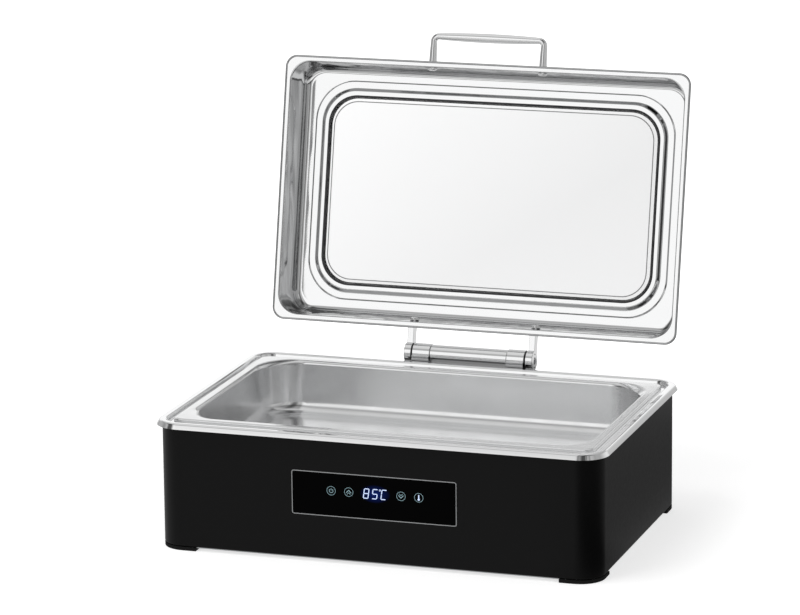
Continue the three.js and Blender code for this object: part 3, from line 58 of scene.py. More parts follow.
# %% Shared sizes in millimetres
MM = 0.001
CORNER_STEPS = 14  # segments in a rounded corner
BEND_STEP = math.radians(9)  # largest turn of one segment in a bend
ROUND_STEPS = 56  # segments in a turned piece
APART = 200.0  # how far rings stand apart while they are joined
GAP = 0.3  # clearance between pieces that meet
MERGE = 0.0005  # corners nearer than this are one
TABLE_Z = -3.6  # under the rubber feet
PAN_RIM_Z = 156.4
STAND_LENGTH, STAND_WIDTH, STAND_CORNER = 558.0, 368.6, 31.0
SKIRT_LENGTH, SKIRT_WIDTH, SKIRT_CORNER = 570.0, 380.6, 34.0
HINGE_Y, HINGE_Z = 206.7, 162.4
OPEN_ANGLE = math.radians(102.24)
LID_SETBACK = 4.2  # closed lid's centre behind the pans' centre
LID_SEAT = 1.2  # closed lid's rim over the food pan's rim
LID_CENTRE_Y = LID_SETBACK - HINGE_Y
LID_RIM_Z = PAN_RIM_Z + LID_SEAT - HINGE_Z
ON_AXIS = Matrix.Translation((0, HINGE_Y, HINGE_Z))
ARM_PLACE = ON_AXIS @ Matrix.Rotation(-OPEN_ANGLE, 4, "X")
LID_PLACE = ARM_PLACE @ Matrix.Translation((0, LID_CENTRE_Y, LID_RIM_Z))
TO_BACK = Matrix.Rotation(math.radians(-90), 4, "X")
SIDES = [(name, side, Matrix.Diagonal((side, 1, 1, 1)))
         for name, side in (("left", -1), ("right", 1))]
print("hinge axis at", HINGE_Y, HINGE_Z, "lid opened", round(math.degrees(OPEN_ANGLE), 2))

# %% [markdown]
# ## Finishes
# One Principled shader carries each finish. What makes a finish look real is small and
# uneven: a polished sheet is never quite flat, powder coat has a fine orange peel, rubber is
# blotchy. So each finish mixes object-space noise into its roughness, its colour or its
# surface, at the scale of the real thing. Object coordinates keep the pattern still on the
# piece from every side.

# %% Helpers for shader nodes
def feed(tree, socket, value):
    """Links a socket to another one, or sets it to a plain value."""
    if isinstance(value, bpy.types.NodeSocket):
        tree.links.new(value, socket)
    else:
        socket.default_value = value


def add_node(tree, kind, **inputs):
    """A shader node with its sockets fed; a space in a socket's name is written as _."""
    node = tree.nodes.new("ShaderNode" + kind)
    for name, value in inputs.items():
        feed(tree, node.inputs[name.replace("_", " ")], value)
    return node


def color_ramp(tree, source, stops):
    """Colours at places along a value from 0 to 1."""
    ramp = add_node(tree, "ValToRGB", Fac=source)
    elements = ramp.color_ramp.elements
    while len(elements) < len(stops):
        elements.new(0.5)
    for element, (place, color) in zip(elements, stops):
        element.position, element.color = place, (*color, 1)
    return ramp.outputs["Color"]


def math_node(tree, operation, first, second, clamp=False):
    """A sum on two values, each a socket or a number."""
    node = tree.nodes.new("ShaderNodeMath")
    node.operation, node.use_clamp = operation, clamp
    feed(tree, node.inputs[0], first)
    feed(tree, node.inputs[1], second)
    return node.outputs["Value"]


def mixed(tree, factor, first, second, data="FLOAT", blend="MIX"):
    """Two tones or colours mixed by a factor."""
    mix = tree.nodes.new("ShaderNodeMix")
    mix.data_type, mix.blend_type = data, blend
    for name, value in (("Factor", factor), ("A", first), ("B", second)):
        feed(tree, mix.inputs[name], value)
    return mix.outputs["Result"]


def object_place(tree):
    return add_node(tree, "TexCoord").outputs["Object"]

# %% [markdown]
# Roughness, colour and relief follow a noise of their own. The last numbers of each such
# call are the noise's scale, its detail and its stretch.

# %% Helpers for finishes
def new_finish(name, color, roughness, metallic=0.0, **sockets):
    """A material with one Principled shader, its plain sockets set."""
    material = bpy.data.materials.new(name)
    material.use_nodes = True
    plain = {"Base_Color": (*color, 1.0), "Roughness": roughness, "Metallic": metallic, **sockets}
    for socket, value in plain.items():
        feed_shader(material, socket.replace("_", " "), value)
    return material


def feed_shader(material, socket, value):
    tree = material.node_tree
    feed(tree, tree.nodes["Principled BSDF"].inputs[socket], value)


def grain(material, scale, detail=2.0, stretch=(1, 1, 1)):
    """Noise on object coordinates, stretched along the way of a brush or a roller."""
    tree = material.node_tree
    mapped = add_node(tree, "Mapping", Vector=object_place(tree), Scale=stretch).outputs["Vector"]
    return add_node(tree, "TexNoise", Vector=mapped, Scale=scale, Detail=detail).outputs["Fac"]


def vary_roughness(material, low, high, *noise):
    """Roughness that wanders between two values with the grain."""
    spread = add_node(material.node_tree, "MapRange", Value=grain(material, *noise),
                      From_Min=0.3, From_Max=0.7, To_Min=low, To_Max=high)
    feed_shader(material, "Roughness", spread.outputs["Result"])


def vary_color(material, dark, light, *noise):
    """Colour that wanders between two tones with the grain."""
    stops = ((0.35, dark), (0.65, light))
    ramp = color_ramp(material.node_tree, grain(material, *noise), stops)
    feed_shader(material, "Base Color", ramp)


def shade_band(material, stops):
    """Colours by height in millimetres: painted shade on the half of a round bar that faces the
    table.
    """
    tree = material.node_tree
    height = add_node(tree, "SeparateXYZ", Vector=object_place(tree)).outputs["Z"]
    stops = [(place * MM, color) for place, color in stops]
    feed_shader(material, "Base Color", color_ramp(tree, height, stops))


def halo(material, centre, spread, color, strength):
    """A glow that fades out from a lit display, on the face it lies behind. The centre and
    the spread are in X and Z, in metres."""
    tree = material.node_tree
    scale = (1 / spread[0], 0, 1 / spread[1])
    location = (-centre[0] / spread[0], 0, -centre[1] / spread[1])
    mapping = add_node(tree, "Mapping", Vector=object_place(tree), Scale=scale, Location=location)
    fade = add_node(tree, "TexGradient", Vector=mapping.outputs["Vector"])
    fade.gradient_type = "SPHERICAL"
    glow = math_node(tree, "MULTIPLY", fade.outputs["Fac"], strength)
    feed_shader(material, "Emission Color", (*color, 1))
    feed_shader(material, "Emission Strength", glow)


def relief(material, strength, depth, *noise):
    """A fine relief, in metres, that follows the grain."""
    bump = add_node(material.node_tree, "Bump", Height=grain(material, *noise),
                    Strength=strength, Distance=depth)
    feed_shader(material, "Normal", bump.outputs["Normal"])

# %% [markdown]
# ### Metals
# The lid, the rim and the hinge are mirror-polished stainless steel: a full metal with low
# roughness. A mark on the lid's walls, creases and hem paints shade into their colour, as
# darker steel. The hinge has a band of painted shade on the half that faces the table. The
# food pan is bright-annealed, a little softer. The brushed pieces have lines along one
# direction, which is noise stretched a long way.

# %% Metal finishes
POLISHED, PAINTED_SHADE_TONE = (0.94, 0.943, 0.946), (0.48, 0.484, 0.488)
HINGE_TONE, HINGE_SHADE = (0.93, 0.933, 0.936), (0.4, 0.403, 0.406)

mirror_steel = new_finish("mirror_steel", POLISHED, 0.07, 1.0)
vary_roughness(mirror_steel, 0.045, 0.1, 18.0)
relief(mirror_steel, 0.12, 0.0006, 9.0, 1.0)

lid_steel = new_finish("lid_steel", POLISHED, 0.07, 1.0)
vary_roughness(lid_steel, 0.045, 0.1, 18.0)
relief(lid_steel, 0.5, 0.0016, 40.0, 1.0, (1, 1, 0.16))
# Painted shade: faces with the mark take a darker steel colour, in place of dark reflections.
painted_shade_mark = add_node(lid_steel.node_tree, "Attribute")
painted_shade_mark.attribute_name = "painted_shade"
feed_shader(lid_steel, "Base Color", color_ramp(
    lid_steel.node_tree, painted_shade_mark.outputs["Fac"], ((0, POLISHED), (1, PAINTED_SHADE_TONE))))

hinge_steel = new_finish("hinge_steel", HINGE_TONE, 0.08, 1.0)
vary_roughness(hinge_steel, 0.05, 0.13, 60.0)

hinge_steel_painted_shade = new_finish("hinge_steel_painted_shade", HINGE_TONE, 0.08, 1.0)
vary_roughness(hinge_steel_painted_shade, 0.05, 0.13, 60.0)
# Painted shade: darker steel on the lower half of the barrel, the bracket's rings and the arms'
# hubs.
shade_band(hinge_steel_painted_shade, ((HINGE_Z - 15.4, HINGE_TONE), (HINGE_Z - 13.8, HINGE_SHADE),
                          (HINGE_Z + 0.8, HINGE_SHADE), (HINGE_Z + 1.8, HINGE_TONE)))

pan_steel = new_finish("pan_steel", (0.88, 0.884, 0.888), 0.2, 1.0)
vary_roughness(pan_steel, 0.16, 0.26, 26.0)
relief(pan_steel, 0.06, 0.0002, 700.0, 2.0, (0.05, 1, 1))

satin_steel = new_finish("satin_steel", (0.6, 0.61, 0.62), 0.3, 1.0)
vary_roughness(satin_steel, 0.24, 0.4, 400.0, 2.0, (0.04, 1, 1))

zinc = new_finish("zinc_plate", (0.55, 0.56, 0.57), 0.36, 1.0)
vary_color(zinc, (0.46, 0.47, 0.49), (0.62, 0.63, 0.63), 160.0, 4.0)

aluminium = new_finish("cast_aluminium", (0.66, 0.67, 0.68), 0.42, 1.0)
relief(aluminium, 0.25, 0.0003, 500.0, 4.0)

brass = new_finish("pin_brass", (0.72, 0.6, 0.34), 0.28, 1.0)
vary_color(brass, (0.66, 0.53, 0.28), (0.76, 0.64, 0.38), 300.0)
print("metals ready")

# %% [markdown]
# ### Coats, plastics and glass
# The stand's powder coat is nearly black and soft: little of the room shows in it, so its
# specular level is low. The touch panel is black-printed glass. The lid's window is glass
# with a faint grey tint, with painted shade deeper towards its lower corner. A grey strip on
# it paints shade along its raised middle's edge, and its seal is black silicone.

# %% Dark and clear finishes
powder_coat = new_finish("powder_coat", (0.002, 0.002, 0.0021), 0.38, Specular_IOR_Level=0.2)
vary_roughness(powder_coat, 0.36, 0.4, 220.0, 3.0)
relief(powder_coat, 0.18, 0.00012, 1400.0, 3.0)

black_glass = new_finish("black_glass", (0.0006, 0.0006, 0.0007), 0.04, Specular_IOR_Level=0.03)
relief(black_glass, 0.03, 0.0003, 14.0)

window_glass = new_finish("window_glass", (0.985, 0.99, 0.988), 0.01,
                          Transmission_Weight=1.0, IOR=1.45)
tree = window_glass.node_tree
# Painted shade: the glass's colour darkens towards its lower corner.
across = tree.nodes.new("ShaderNodeVectorMath")
across.operation = "DOT_PRODUCT"
feed(tree, across.inputs[0], object_place(tree))
feed(tree, across.inputs[1], (1.0, 0.0, -1.6))
fade = add_node(tree, "MapRange", Value=across.outputs["Value"], From_Min=-0.98, From_Max=-0.45)
feed_shader(window_glass, "Base Color", color_ramp(
    tree, fade.outputs["Result"], ((0, (0.74, 0.741, 0.742)), (1, (0.61, 0.611, 0.613)))))

# Painted shade: a grey strip that draws the edge of the glass's raised middle as a fine line.
painted_edge_grey = new_finish("painted_edge_grey", (0.3, 0.3, 0.305), 0.5)
vary_roughness(painted_edge_grey, 0.42, 0.55, 200.0)

silicone = new_finish("silicone", (0.05, 0.05, 0.052), 0.6, Specular_IOR_Level=0.3)
vary_color(silicone, (0.04, 0.04, 0.042), (0.065, 0.065, 0.067), 90.0, 3.0)

foot_rubber = new_finish("foot_rubber", (0.012, 0.012, 0.012), 0.8, Specular_IOR_Level=0.15)
relief(foot_rubber, 0.3, 0.0002, 1200.0, 4.0)

black_plastic = new_finish("black_plastic", (0.02, 0.02, 0.021), 0.5, Specular_IOR_Level=0.3)
relief(black_plastic, 0.3, 0.00015, 1600.0, 3.0)

circuit_board = new_finish("circuit_board", (0.05, 0.2, 0.1), 0.45)
vary_color(circuit_board, (0.02, 0.1, 0.05), (0.05, 0.2, 0.1), 260.0, 0.0)

blue_plastic = new_finish("blue_plastic", (0.06, 0.12, 0.35), 0.35)
vary_roughness(blue_plastic, 0.28, 0.42, 200.0)

yellow_tape = new_finish("yellow_tape", (0.6, 0.48, 0.1), 0.5)
vary_color(yellow_tape, (0.5, 0.38, 0.07), (0.65, 0.53, 0.14), 80.0, 1.0, (1, 1, 6))

lead_jacket = new_finish("lead_jacket", (0.03, 0.03, 0.032), 0.55)
vary_roughness(lead_jacket, 0.45, 0.65, 350.0)

ribbon_grey = new_finish("ribbon_grey", (0.45, 0.45, 0.44), 0.5)
vary_color(ribbon_grey, (0.34, 0.34, 0.33), (0.5, 0.5, 0.49), 900.0, 0.0, (1, 0.01, 0.01))
print("coats and glass ready")

# %% [markdown]
# ### Finishes of the CAD nodes
# The pieces that stay as CAD solids, most of them inside the stand, take the finish of
# their material slot in the record.

# %% Dress every CAD node by its slot
SLOT_FINISH = {
    "black_coat": powder_coat, "polished_steel": hinge_steel, "satin_steel": satin_steel,
    "zinc_plate": zinc, "aluminium": aluminium, "brass": brass, "black_plastic": black_plastic,
    "black_glass": black_glass, "window_glass": window_glass, "silicone": silicone,
    "foot_rubber": foot_rubber, "circuit_board": circuit_board, "blue_plastic": blue_plastic,
    "yellow_tape": yellow_tape, "lead_jacket": lead_jacket, "ribbon_grey": ribbon_grey,
}
node_slot = {entry["node"]: entry["material_slot"] for entry in frame["record"]["subparts"]}
for node, solid in frame["nodes"].items():
    solid.data.materials.clear()
    solid.data.materials.append(SLOT_FINISH[node_slot[node]])
print("dressed", len(node_slot), "nodes")

# %% [markdown]
# ## Tools for bent sheet
# Pans, lids and wrapped housings are the same thing to a sheet-metal worker: a profile of
# bends carried round a rounded rectangle. One ring of that shape is a square face whose four
# corners are bevelled. Rings bridged one to the next make the walls. The profile's bends are
# rounded with true arcs, because a polished sheet shows every flat in its reflections.

# %% One ring, and walls between rings
def eased(bm, geom, width, what, segments, clamp=False):
    """Rounds corners (VERTICES) or edges (EDGES), and gives the vertices of the rounding."""
    return bmesh.ops.bevel(bm, geom=geom, offset=width, offset_type="OFFSET", affect=what,
                           segments=segments, profile=0.5, material=-1,
                           clamp_overlap=clamp)["verts"]


def rounded_ring(bm, half_x, half_y, corner, z, steps=CORNER_STEPS):
    """The edges of a rounded rectangle: a square face, scaled, its corners bevelled."""
    square = bmesh.ops.create_grid(bm, x_segments=1, y_segments=1, size=1.0)["verts"]
    bmesh.ops.scale(bm, vec=(half_x, half_y, 1.0), verts=square)
    bmesh.ops.translate(bm, vec=(0, 0, z), verts=square)
    face = eased(bm, square, corner, "VERTICES", steps)[0].link_faces[0]
    edges = list(face.edges)
    bmesh.ops.delete(bm, geom=[face], context="FACES_ONLY")
    return edges


def join_rings(bm, rings, closed=False):
    """Walls between neighbouring rings; a closed run joins the last to the first."""
    pairs = list(zip(rings, rings[1:])) + ([(rings[-1], rings[0])] if closed else [])
    for first, second in pairs:
        bmesh.ops.bridge_loops(bm, edges=first + second)
    if not closed:
        bmesh.ops.edgeloop_fill(bm, edges=rings[0])
        bmesh.ops.edgeloop_fill(bm, edges=rings[-1])


def ring_solid(levels, closed=False, steps=CORNER_STEPS):
    """A solid from rings given as half length, half width, corner and height. The rings
    stand well apart while they are joined, so that flat parts join up without a twist."""
    bm = bmesh.new()
    rings = [rounded_ring(bm, *level[:3], level[3] + k * APART, steps)
             for k, level in enumerate(levels)]
    corners = [list({v for edge in ring for v in edge.verts}) for ring in rings]
    join_rings(bm, rings, closed)
    for k, verts in enumerate(corners):
        bmesh.ops.translate(bm, vec=(0, 0, -k * APART), verts=verts)
    bmesh.ops.recalc_face_normals(bm, faces=bm.faces)
    return bm

# %% The middle line of a bent sheet
OWN_ROOM, SHARED_ROOM = 0.96, 0.48  # share of a straight that a bend may take up


def bend_line(points):
    """Samples (x, z, extra, corner, normal x, normal z) along points of half length, half
    width, corner, height and bend radius. Extra is how far the half width passes the length."""
    flat = [Vector((p[0], p[3])) for p in points]
    samples = []

    def plan(i, j, share):
        first, second = points[i], points[j]
        extra = (first[1] - first[0]) * (1 - share) + (second[1] - second[0]) * share
        return extra, first[2] * (1 - share) + second[2] * share

    def add(at, way, spread):
        samples.append((at.x, at.y, *spread, -way.y, way.x))

    add(flat[0], (flat[1] - flat[0]).normalized(), plan(0, 1, 0))
    for i in range(1, len(points) - 1):
        before, after = flat[i] - flat[i - 1], flat[i + 1] - flat[i]
        reach_in, reach_out = before.length, after.length
        before, after = before.normalized(), after.normalized()
        turn = math.atan2(before.x * after.y - before.y * after.x, before.dot(after))
        room = min(reach * (SHARED_ROOM if points[j][4] else OWN_ROOM)
                   for reach, j in ((reach_in, i - 1), (reach_out, i + 1)))
        tangent = min(points[i][4] * abs(math.tan(turn / 2)), room)
        if tangent == 0:
            add(flat[i], (before + after).normalized(), plan(i, i, 0))
            continue
        radius = tangent / abs(math.tan(turn / 2))
        start = flat[i] - before * tangent
        side = math.copysign(1, turn)
        centre = start + Vector((-before.y, before.x)) * side * radius
        plan_in, plan_out = plan(i, i - 1, tangent / reach_in), plan(i, i + 1, tangent / reach_out)
        steps = max(2, math.ceil(abs(turn) / BEND_STEP))
        for k in range(steps + 1):
            share = k / steps
            way = Matrix.Rotation(turn * share, 2) @ before
            spoke = Vector((way.y, -way.x)) * side * radius
            spread = [a * (1 - share) + b * share for a, b in zip(plan_in, plan_out)]
            add(centre + spoke, way, spread)
    add(flat[-1], (flat[-1] - flat[-2]).normalized(), plan(-1, -1, 0))
    return samples


def offset_level(sample, distance):
    """One face of the sheet, a distance off its middle line."""
    x, z, extra, corner, normal_x, normal_z = sample
    half_x = x + normal_x * distance
    return half_x, half_x + extra, corner + normal_x * distance, z + normal_z * distance


def bent_sheet(points, thickness, frame_only=False, hem=0.0):
    """A bent sheet as a closed solid: a pan, or a frame open in its middle. A hem is the
    radius of a rolled edge at the start."""
    samples = bend_line(points)
    outer = [offset_level(s, thickness / 2) for s in samples]
    inner = [offset_level(s, -thickness / 2) for s in samples]
    if hem:
        x, z, extra, corner, normal_x, normal_z = samples[0]
        reach = math.pi / 2 + math.asin(math.sqrt(1 - (thickness / (2 * hem)) ** 2))
        roll = []
        count = math.ceil(2 * reach / (2 * BEND_STEP))
        for k in range(count + 1):
            angle = reach - 2 * reach * k / count
            along, across = -math.cos(angle) * hem, -math.sin(angle) * hem
            move_x = normal_z * along + normal_x * across
            move_z = -normal_x * along + normal_z * across
            roll.append((x + move_x, x + move_x + extra, corner + move_x, z + move_z))
        return ring_solid(outer[1:] + inner[:0:-1] + roll, closed=True)
    if frame_only:
        return ring_solid(outer + inner[::-1], closed=True)
    return ring_solid(outer[::-1] + inner)

# %% [markdown]
# ## Tools for turned, cut and swept pieces
# Barrels, rings and screws are turned on a lathe: a profile spun round an axis. Windows,
# bores and slots are cut, which a Boolean does, applied at once so that the piece keeps no
# live link to its cutter. Small sharp corners catch light on a real piece, so a narrow bevel
# goes on plates and blocks.

# %% Turned and cut pieces
def turned(profile, steps=ROUND_STEPS):
    """A profile of place along X and radius, spun round X. It closes on itself or the axis."""
    bm = bmesh.new()
    points = [bm.verts.new((along, 0, radius)) for along, radius in profile]
    edges = [bm.edges.new(pair) for pair in zip(points, points[1:])]
    if profile[0][1] > 0:
        edges.append(bm.edges.new((points[-1], points[0])))
    bmesh.ops.spin(bm, geom=points + edges, cent=(0, 0, 0), axis=(1, 0, 0), angle=math.tau,
                   steps=steps, use_merge=True)
    bmesh.ops.remove_doubles(bm, verts=bm.verts, dist=MERGE)
    bmesh.ops.recalc_face_normals(bm, faces=bm.faces)
    return bm


def pin(radius, start, end, steps=ROUND_STEPS):
    """A plain round rod along X."""
    return turned([(start, 0), (start, radius), (end, radius), (end, 0)], steps)


def box(low, high):
    """A block between two corners."""
    bm = bmesh.new()
    bmesh.ops.create_cube(bm, size=1.0)
    size = [h - l for l, h in zip(low, high)]
    bmesh.ops.scale(bm, vec=size, verts=bm.verts)
    bmesh.ops.translate(bm, vec=[(l + h) / 2 for l, h in zip(low, high)], verts=bm.verts)
    return bm


def raised(bm, faces, move):
    """Runs flat faces along a move, into a closed plate or block."""
    grown = bmesh.ops.extrude_face_region(bm, geom=faces, use_keep_orig=True)
    lifted = [item for item in grown["geom"] if isinstance(item, bmesh.types.BMVert)]
    bmesh.ops.translate(bm, vec=move, verts=lifted)


def profile_block(outline, x0, x1, bevel, rounds=()):
    """An outline of Y and Z run along X; rounds gives a radius to some of its corners."""
    bm = bmesh.new()
    corners = [bm.verts.new((x0, y, z)) for y, z in outline]
    bm.faces.new(corners)
    for index, radius in rounds:
        eased(bm, [corners[index]], radius, "VERTICES", 10, clamp=True)
    raised(bm, bm.faces[:], (x1 - x0, 0, 0))
    bmesh.ops.recalc_face_normals(bm, faces=bm.faces)
    sharp = [e for e in bm.edges if e.calc_face_angle(0) > math.radians(60)]
    eased(bm, sharp, bevel, "EDGES", 2)
    return bm


def moved(bm, matrix):
    """The same piece, put in its place."""
    bmesh.ops.transform(bm, matrix=matrix, verts=bm.verts)
    if matrix.determinant() < 0:
        bmesh.ops.reverse_faces(bm, faces=bm.faces)
    return bm


def holder(bm):
    """A short-lived object for a Boolean."""
    bmesh.ops.recalc_face_normals(bm, faces=bm.faces)
    mesh = bpy.data.meshes.new("short_lived")
    bm.to_mesh(mesh)
    bm.free()
    thing = bpy.data.objects.new("short_lived", mesh)
    bpy.context.scene.collection.objects.link(thing)
    return thing


def shaped(bm, tools, operation="DIFFERENCE"):
    """The piece with tools cut from it, joined to it or shared with it."""
    target = holder(bm)
    cutters = [holder(tool) for tool in tools]
    for cutter in cutters:
        step = target.modifiers.new("step", "BOOLEAN")
        step.operation, step.solver, step.object = operation, "EXACT", cutter
    result = bmesh.new()
    result.from_object(target, bpy.context.evaluated_depsgraph_get())
    for thing in [target] + cutters:
        mesh = thing.data
        bpy.data.objects.remove(thing)
        bpy.data.meshes.remove(mesh)
    return result

# %% Finish a piece
SHARP = math.radians(32)


def finish_piece(name, bm, material, body, nodes=(), place=None):
    """Places a mesh in metres, smooths it, and hands it to the body that carries it."""
    if place is not None:
        moved(bm, place)
    bmesh.ops.remove_doubles(bm, verts=bm.verts, dist=MERGE)
    bmesh.ops.scale(bm, vec=(MM, MM, MM), verts=bm.verts)
    bmesh.ops.recalc_face_normals(bm, faces=bm.faces)
    open_edges = sum(1 for e in bm.edges if len(e.link_faces) != 2)
    mesh = bpy.data.meshes.new(name)
    bm.to_mesh(mesh)
    bm.free()
    mesh.shade_smooth()
    mesh.set_sharp_from_angle(angle=SHARP)
    mesh.materials.append(material)
    piece = bpy.data.objects.new(name, mesh)
    bpy.context.scene.collection.objects.link(piece)
    weighted = piece.modifiers.new("even_shading", "WEIGHTED_NORMAL")
    weighted.keep_sharp = True
    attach(piece, body)
    if nodes:
        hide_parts(*nodes)
    print(f"{name}: {len(mesh.polygons)} faces, {open_edges} open edges")

# %% [markdown]
# ## The stand
# The housing is one sheet wrapped round the dish, bent in at the top and the bottom. Its
# front has a window for the touch panel, its back a hole for the inlet and a row of louvre
# slots. It is made as a bent sheet with its windows cut.

# %% Housing
HOUSING_SHEET = 1.2
HOUSING_BOTTOM_Z, HOUSING_TOP_Z = 1.3, 150.4
FLANGE_REACH, FLANGE_BEND = 14, 2
FRONT_Y, REAR_Y = -STAND_WIDTH / 2, STAND_WIDTH / 2
PANEL_LENGTH, PANEL_HEIGHT, PANEL_Z = 208.0, 54.8, 82.7
PANEL_HOLE = PANEL_LENGTH + 2 * GAP, PANEL_HEIGHT + 2 * GAP, 3.3
INLET_X, INLET_Z, INLET_HOLE = -190.0, 30.4, (28.2, 20.4, 2.5)
LOUVRE_X, LOUVRE_COUNT, LOUVRE_PITCH, LOUVRE_HOLE = 190.0, 9, 8.0, (3, 30, 1.45)


def stand_level(inset, z, bend=0.0):
    return STAND_LENGTH / 2 - inset, STAND_WIDTH / 2 - inset, STAND_CORNER - inset, z, bend


half = HOUSING_SHEET / 2
wrap = bent_sheet([
    stand_level(FLANGE_REACH, HOUSING_BOTTOM_Z + half),
    stand_level(half, HOUSING_BOTTOM_Z + half, FLANGE_BEND),
    stand_level(half, HOUSING_TOP_Z - half, FLANGE_BEND),
    stand_level(FLANGE_REACH, HOUSING_TOP_Z - half),
], HOUSING_SHEET, frame_only=True)


def wall_window(length, height, corner, x, y, z):
    """A rounded block that passes a wall along Y."""
    tool = ring_solid([(length / 2, height / 2, corner, end) for end in (-3, 3)], steps=6)
    return moved(tool, Matrix.Translation((x, y, z)) @ TO_BACK)


windows = [
    wall_window(*PANEL_HOLE, 0, FRONT_Y, PANEL_Z),
    wall_window(*INLET_HOLE, INLET_X, REAR_Y, INLET_Z),
]
for i in range(LOUVRE_COUNT):
    x = LOUVRE_X + (i - (LOUVRE_COUNT - 1) / 2) * LOUVRE_PITCH
    windows.append(wall_window(*LOUVRE_HOLE, x, REAR_Y, INLET_Z))
finish_piece("housing_wrap", shaped(wrap, windows), powder_coat, "base",
             ["housing_shell"])

# %% [markdown]
# ## Feet
# Four rubber corners carry the stand 3.6 mm off the table. Each has the stand's own corner,
# a rim that hides the bottom plate's edge, and an eased lower edge. One is cut out of a ring
# of the whole outline with a rounded block, and mirrored to the other corners.

# %% Corner feet
FOOT_LENGTH, FOOT_CORNER, RIM_SHEET, RIM_TOP_Z = 49.0, 9, 2.4, 1.0
TOOL_HALF = 29.5  # of the block that cuts a foot out of the ring


def foot_solid():
    pad = ring_solid([stand_level(inset, z)[:4] for inset, z in (
        (0.8, TABLE_Z), (0.25, TABLE_Z + 0.25), (0, TABLE_Z + 0.8), (0, -GAP))])
    rim = ring_solid([stand_level(inset, z)[:4] for inset, z in (
        (0, -2 * GAP), (0, RIM_TOP_Z), (RIM_SHEET, RIM_TOP_Z), (RIM_SHEET, -2 * GAP)
    )], closed=True)
    tool = ring_solid([(TOOL_HALF, TOOL_HALF, FOOT_CORNER, z) for z in (TABLE_Z - 1, 3)], steps=8)
    centre = [side / 2 - FOOT_LENGTH + TOOL_HALF for side in (STAND_LENGTH, STAND_WIDTH)]
    moved(tool, Matrix.Translation((*centre, 0)))
    return shaped(shaped(pad, [rim], "UNION"), [tool], "INTERSECT")


for name, side, depth in (("front_left", -1, -1), ("front_right", 1, -1),
                          ("rear_left", -1, 1), ("rear_right", 1, 1)):
    corner = Matrix.Diagonal((side, depth, 1, 1))
    finish_piece("foot_pad_" + name, foot_solid(), foot_rubber, "base",
                 ["foot_" + name, "foot_screw_" + name], place=corner)

# %% [markdown]
# ## Pans
# The water pan's edge is the bright band round the stand: a skirt that flares out, a bead,
# a groove, and the ledge on which the food pan's lip rests. The food pan is a full
# gastronorm pan with a flat flange, a round mouth and slightly drafted walls. Both are bent
# sheets, and only the bends matter, because a mirror finish shows nothing else.

# %% Water pan
PAN_SHEET = 0.8  # of both pans
CREST_Z, SKIRT_Z, LEDGE_Z, WATER_FLOOR_Z = 156.7, 149.9, 150.7, 70.8
WELL_HALF_X, WELL_HALF_Y, WELL_CORNER = 256.2, 153.7, 58.8
WELL_BEND, WELL_DRAFT = 14, math.radians(2)
SKIRT_FLARE, GROOVE_START, GROOVE_END = 3.5, 11.2, 12.6
FLOOR_REACH = 28
half = PAN_SHEET / 2


def rim_level(inset, z, bend=0.0):
    inset += half
    return SKIRT_LENGTH / 2 - inset, SKIRT_WIDTH / 2 - inset, SKIRT_CORNER - inset, z, bend


def well_level(inset, z, bend=0.0):
    return WELL_HALF_X - inset, WELL_HALF_Y - inset, WELL_CORNER - inset, z, bend


taper = (LEDGE_Z - WATER_FLOOR_Z) * math.tan(WELL_DRAFT)
finish_piece("water_pan_body", bent_sheet([
    rim_level(0, SKIRT_Z), rim_level(SKIRT_FLARE, CREST_Z - half, 3.4),
    rim_level(GROOVE_START, CREST_Z - half, 3), rim_level(GROOVE_END, LEDGE_Z + half, 1.2),
    well_level(0, LEDGE_Z + half, 4), well_level(taper, WATER_FLOOR_Z + half, WELL_BEND),
    well_level(taper + FLOOR_REACH, WATER_FLOOR_Z + half),
], PAN_SHEET), mirror_steel, "base", ["water_pan"])

# %% Food pan
PAN_HALF_X, PAN_HALF_Y, PAN_DEPTH, PAN_FLOOR_Z = 265, 162.5, 65, 90.6
LIP_CORNER, LIP_DROP, LIP_BEND = 7.6, 4.6, 1.6
PAN_FLANGE, MOUTH_CORNER, MOUTH_BEND = 12.6, 55, 4.5
pan_taper = PAN_DEPTH * math.tan(math.radians(5))
foot_inset = PAN_FLANGE + pan_taper


def pan_level(inset, corner, z, bend=0.0):
    return PAN_HALF_X - inset, PAN_HALF_Y - inset, corner, z, bend


finish_piece("food_pan_body", bent_sheet([
    pan_level(half, LIP_CORNER, PAN_RIM_Z - LIP_DROP),
    pan_level(half, LIP_CORNER, PAN_RIM_Z - half, LIP_BEND),
    pan_level(PAN_FLANGE, MOUTH_CORNER, PAN_RIM_Z - half, MOUTH_BEND),
    pan_level(foot_inset, 46, PAN_FLOOR_Z + half, 16),
    pan_level(foot_inset + 32, 30, PAN_FLOOR_Z + half),
], PAN_SHEET), pan_steel, "base", ["food_pan"])

# %% [markdown]
# ## Touch panel
# A strip of black glass sits in a thin bright bezel. The keys are touch fields with printed
# icons, and a seven-segment display shows a temperature. The icons are flat shapes on the
# glass, made from a few strokes each, and they glow a little as the real ones do. The glass
# has a faint painted blue glow round the display, the display's light painted on its face.

# %% Bezel and glass
PANEL_FRONT_Y, GLASS_FRONT_Y = FRONT_Y - 0.6, FRONT_Y - 0.4
PANEL_CORNER = 3
FLANGE_FRONT_Y, FLANGE_BACK_Y = -182.8, -181.3  # of the bezel, behind the housing's wall
DISPLAY_Z = PANEL_Z + 4.8


def panel_level(inset, y):
    return PANEL_LENGTH / 2 - inset, PANEL_HEIGHT / 2 - inset, max(PANEL_CORNER - inset, 0.6), y


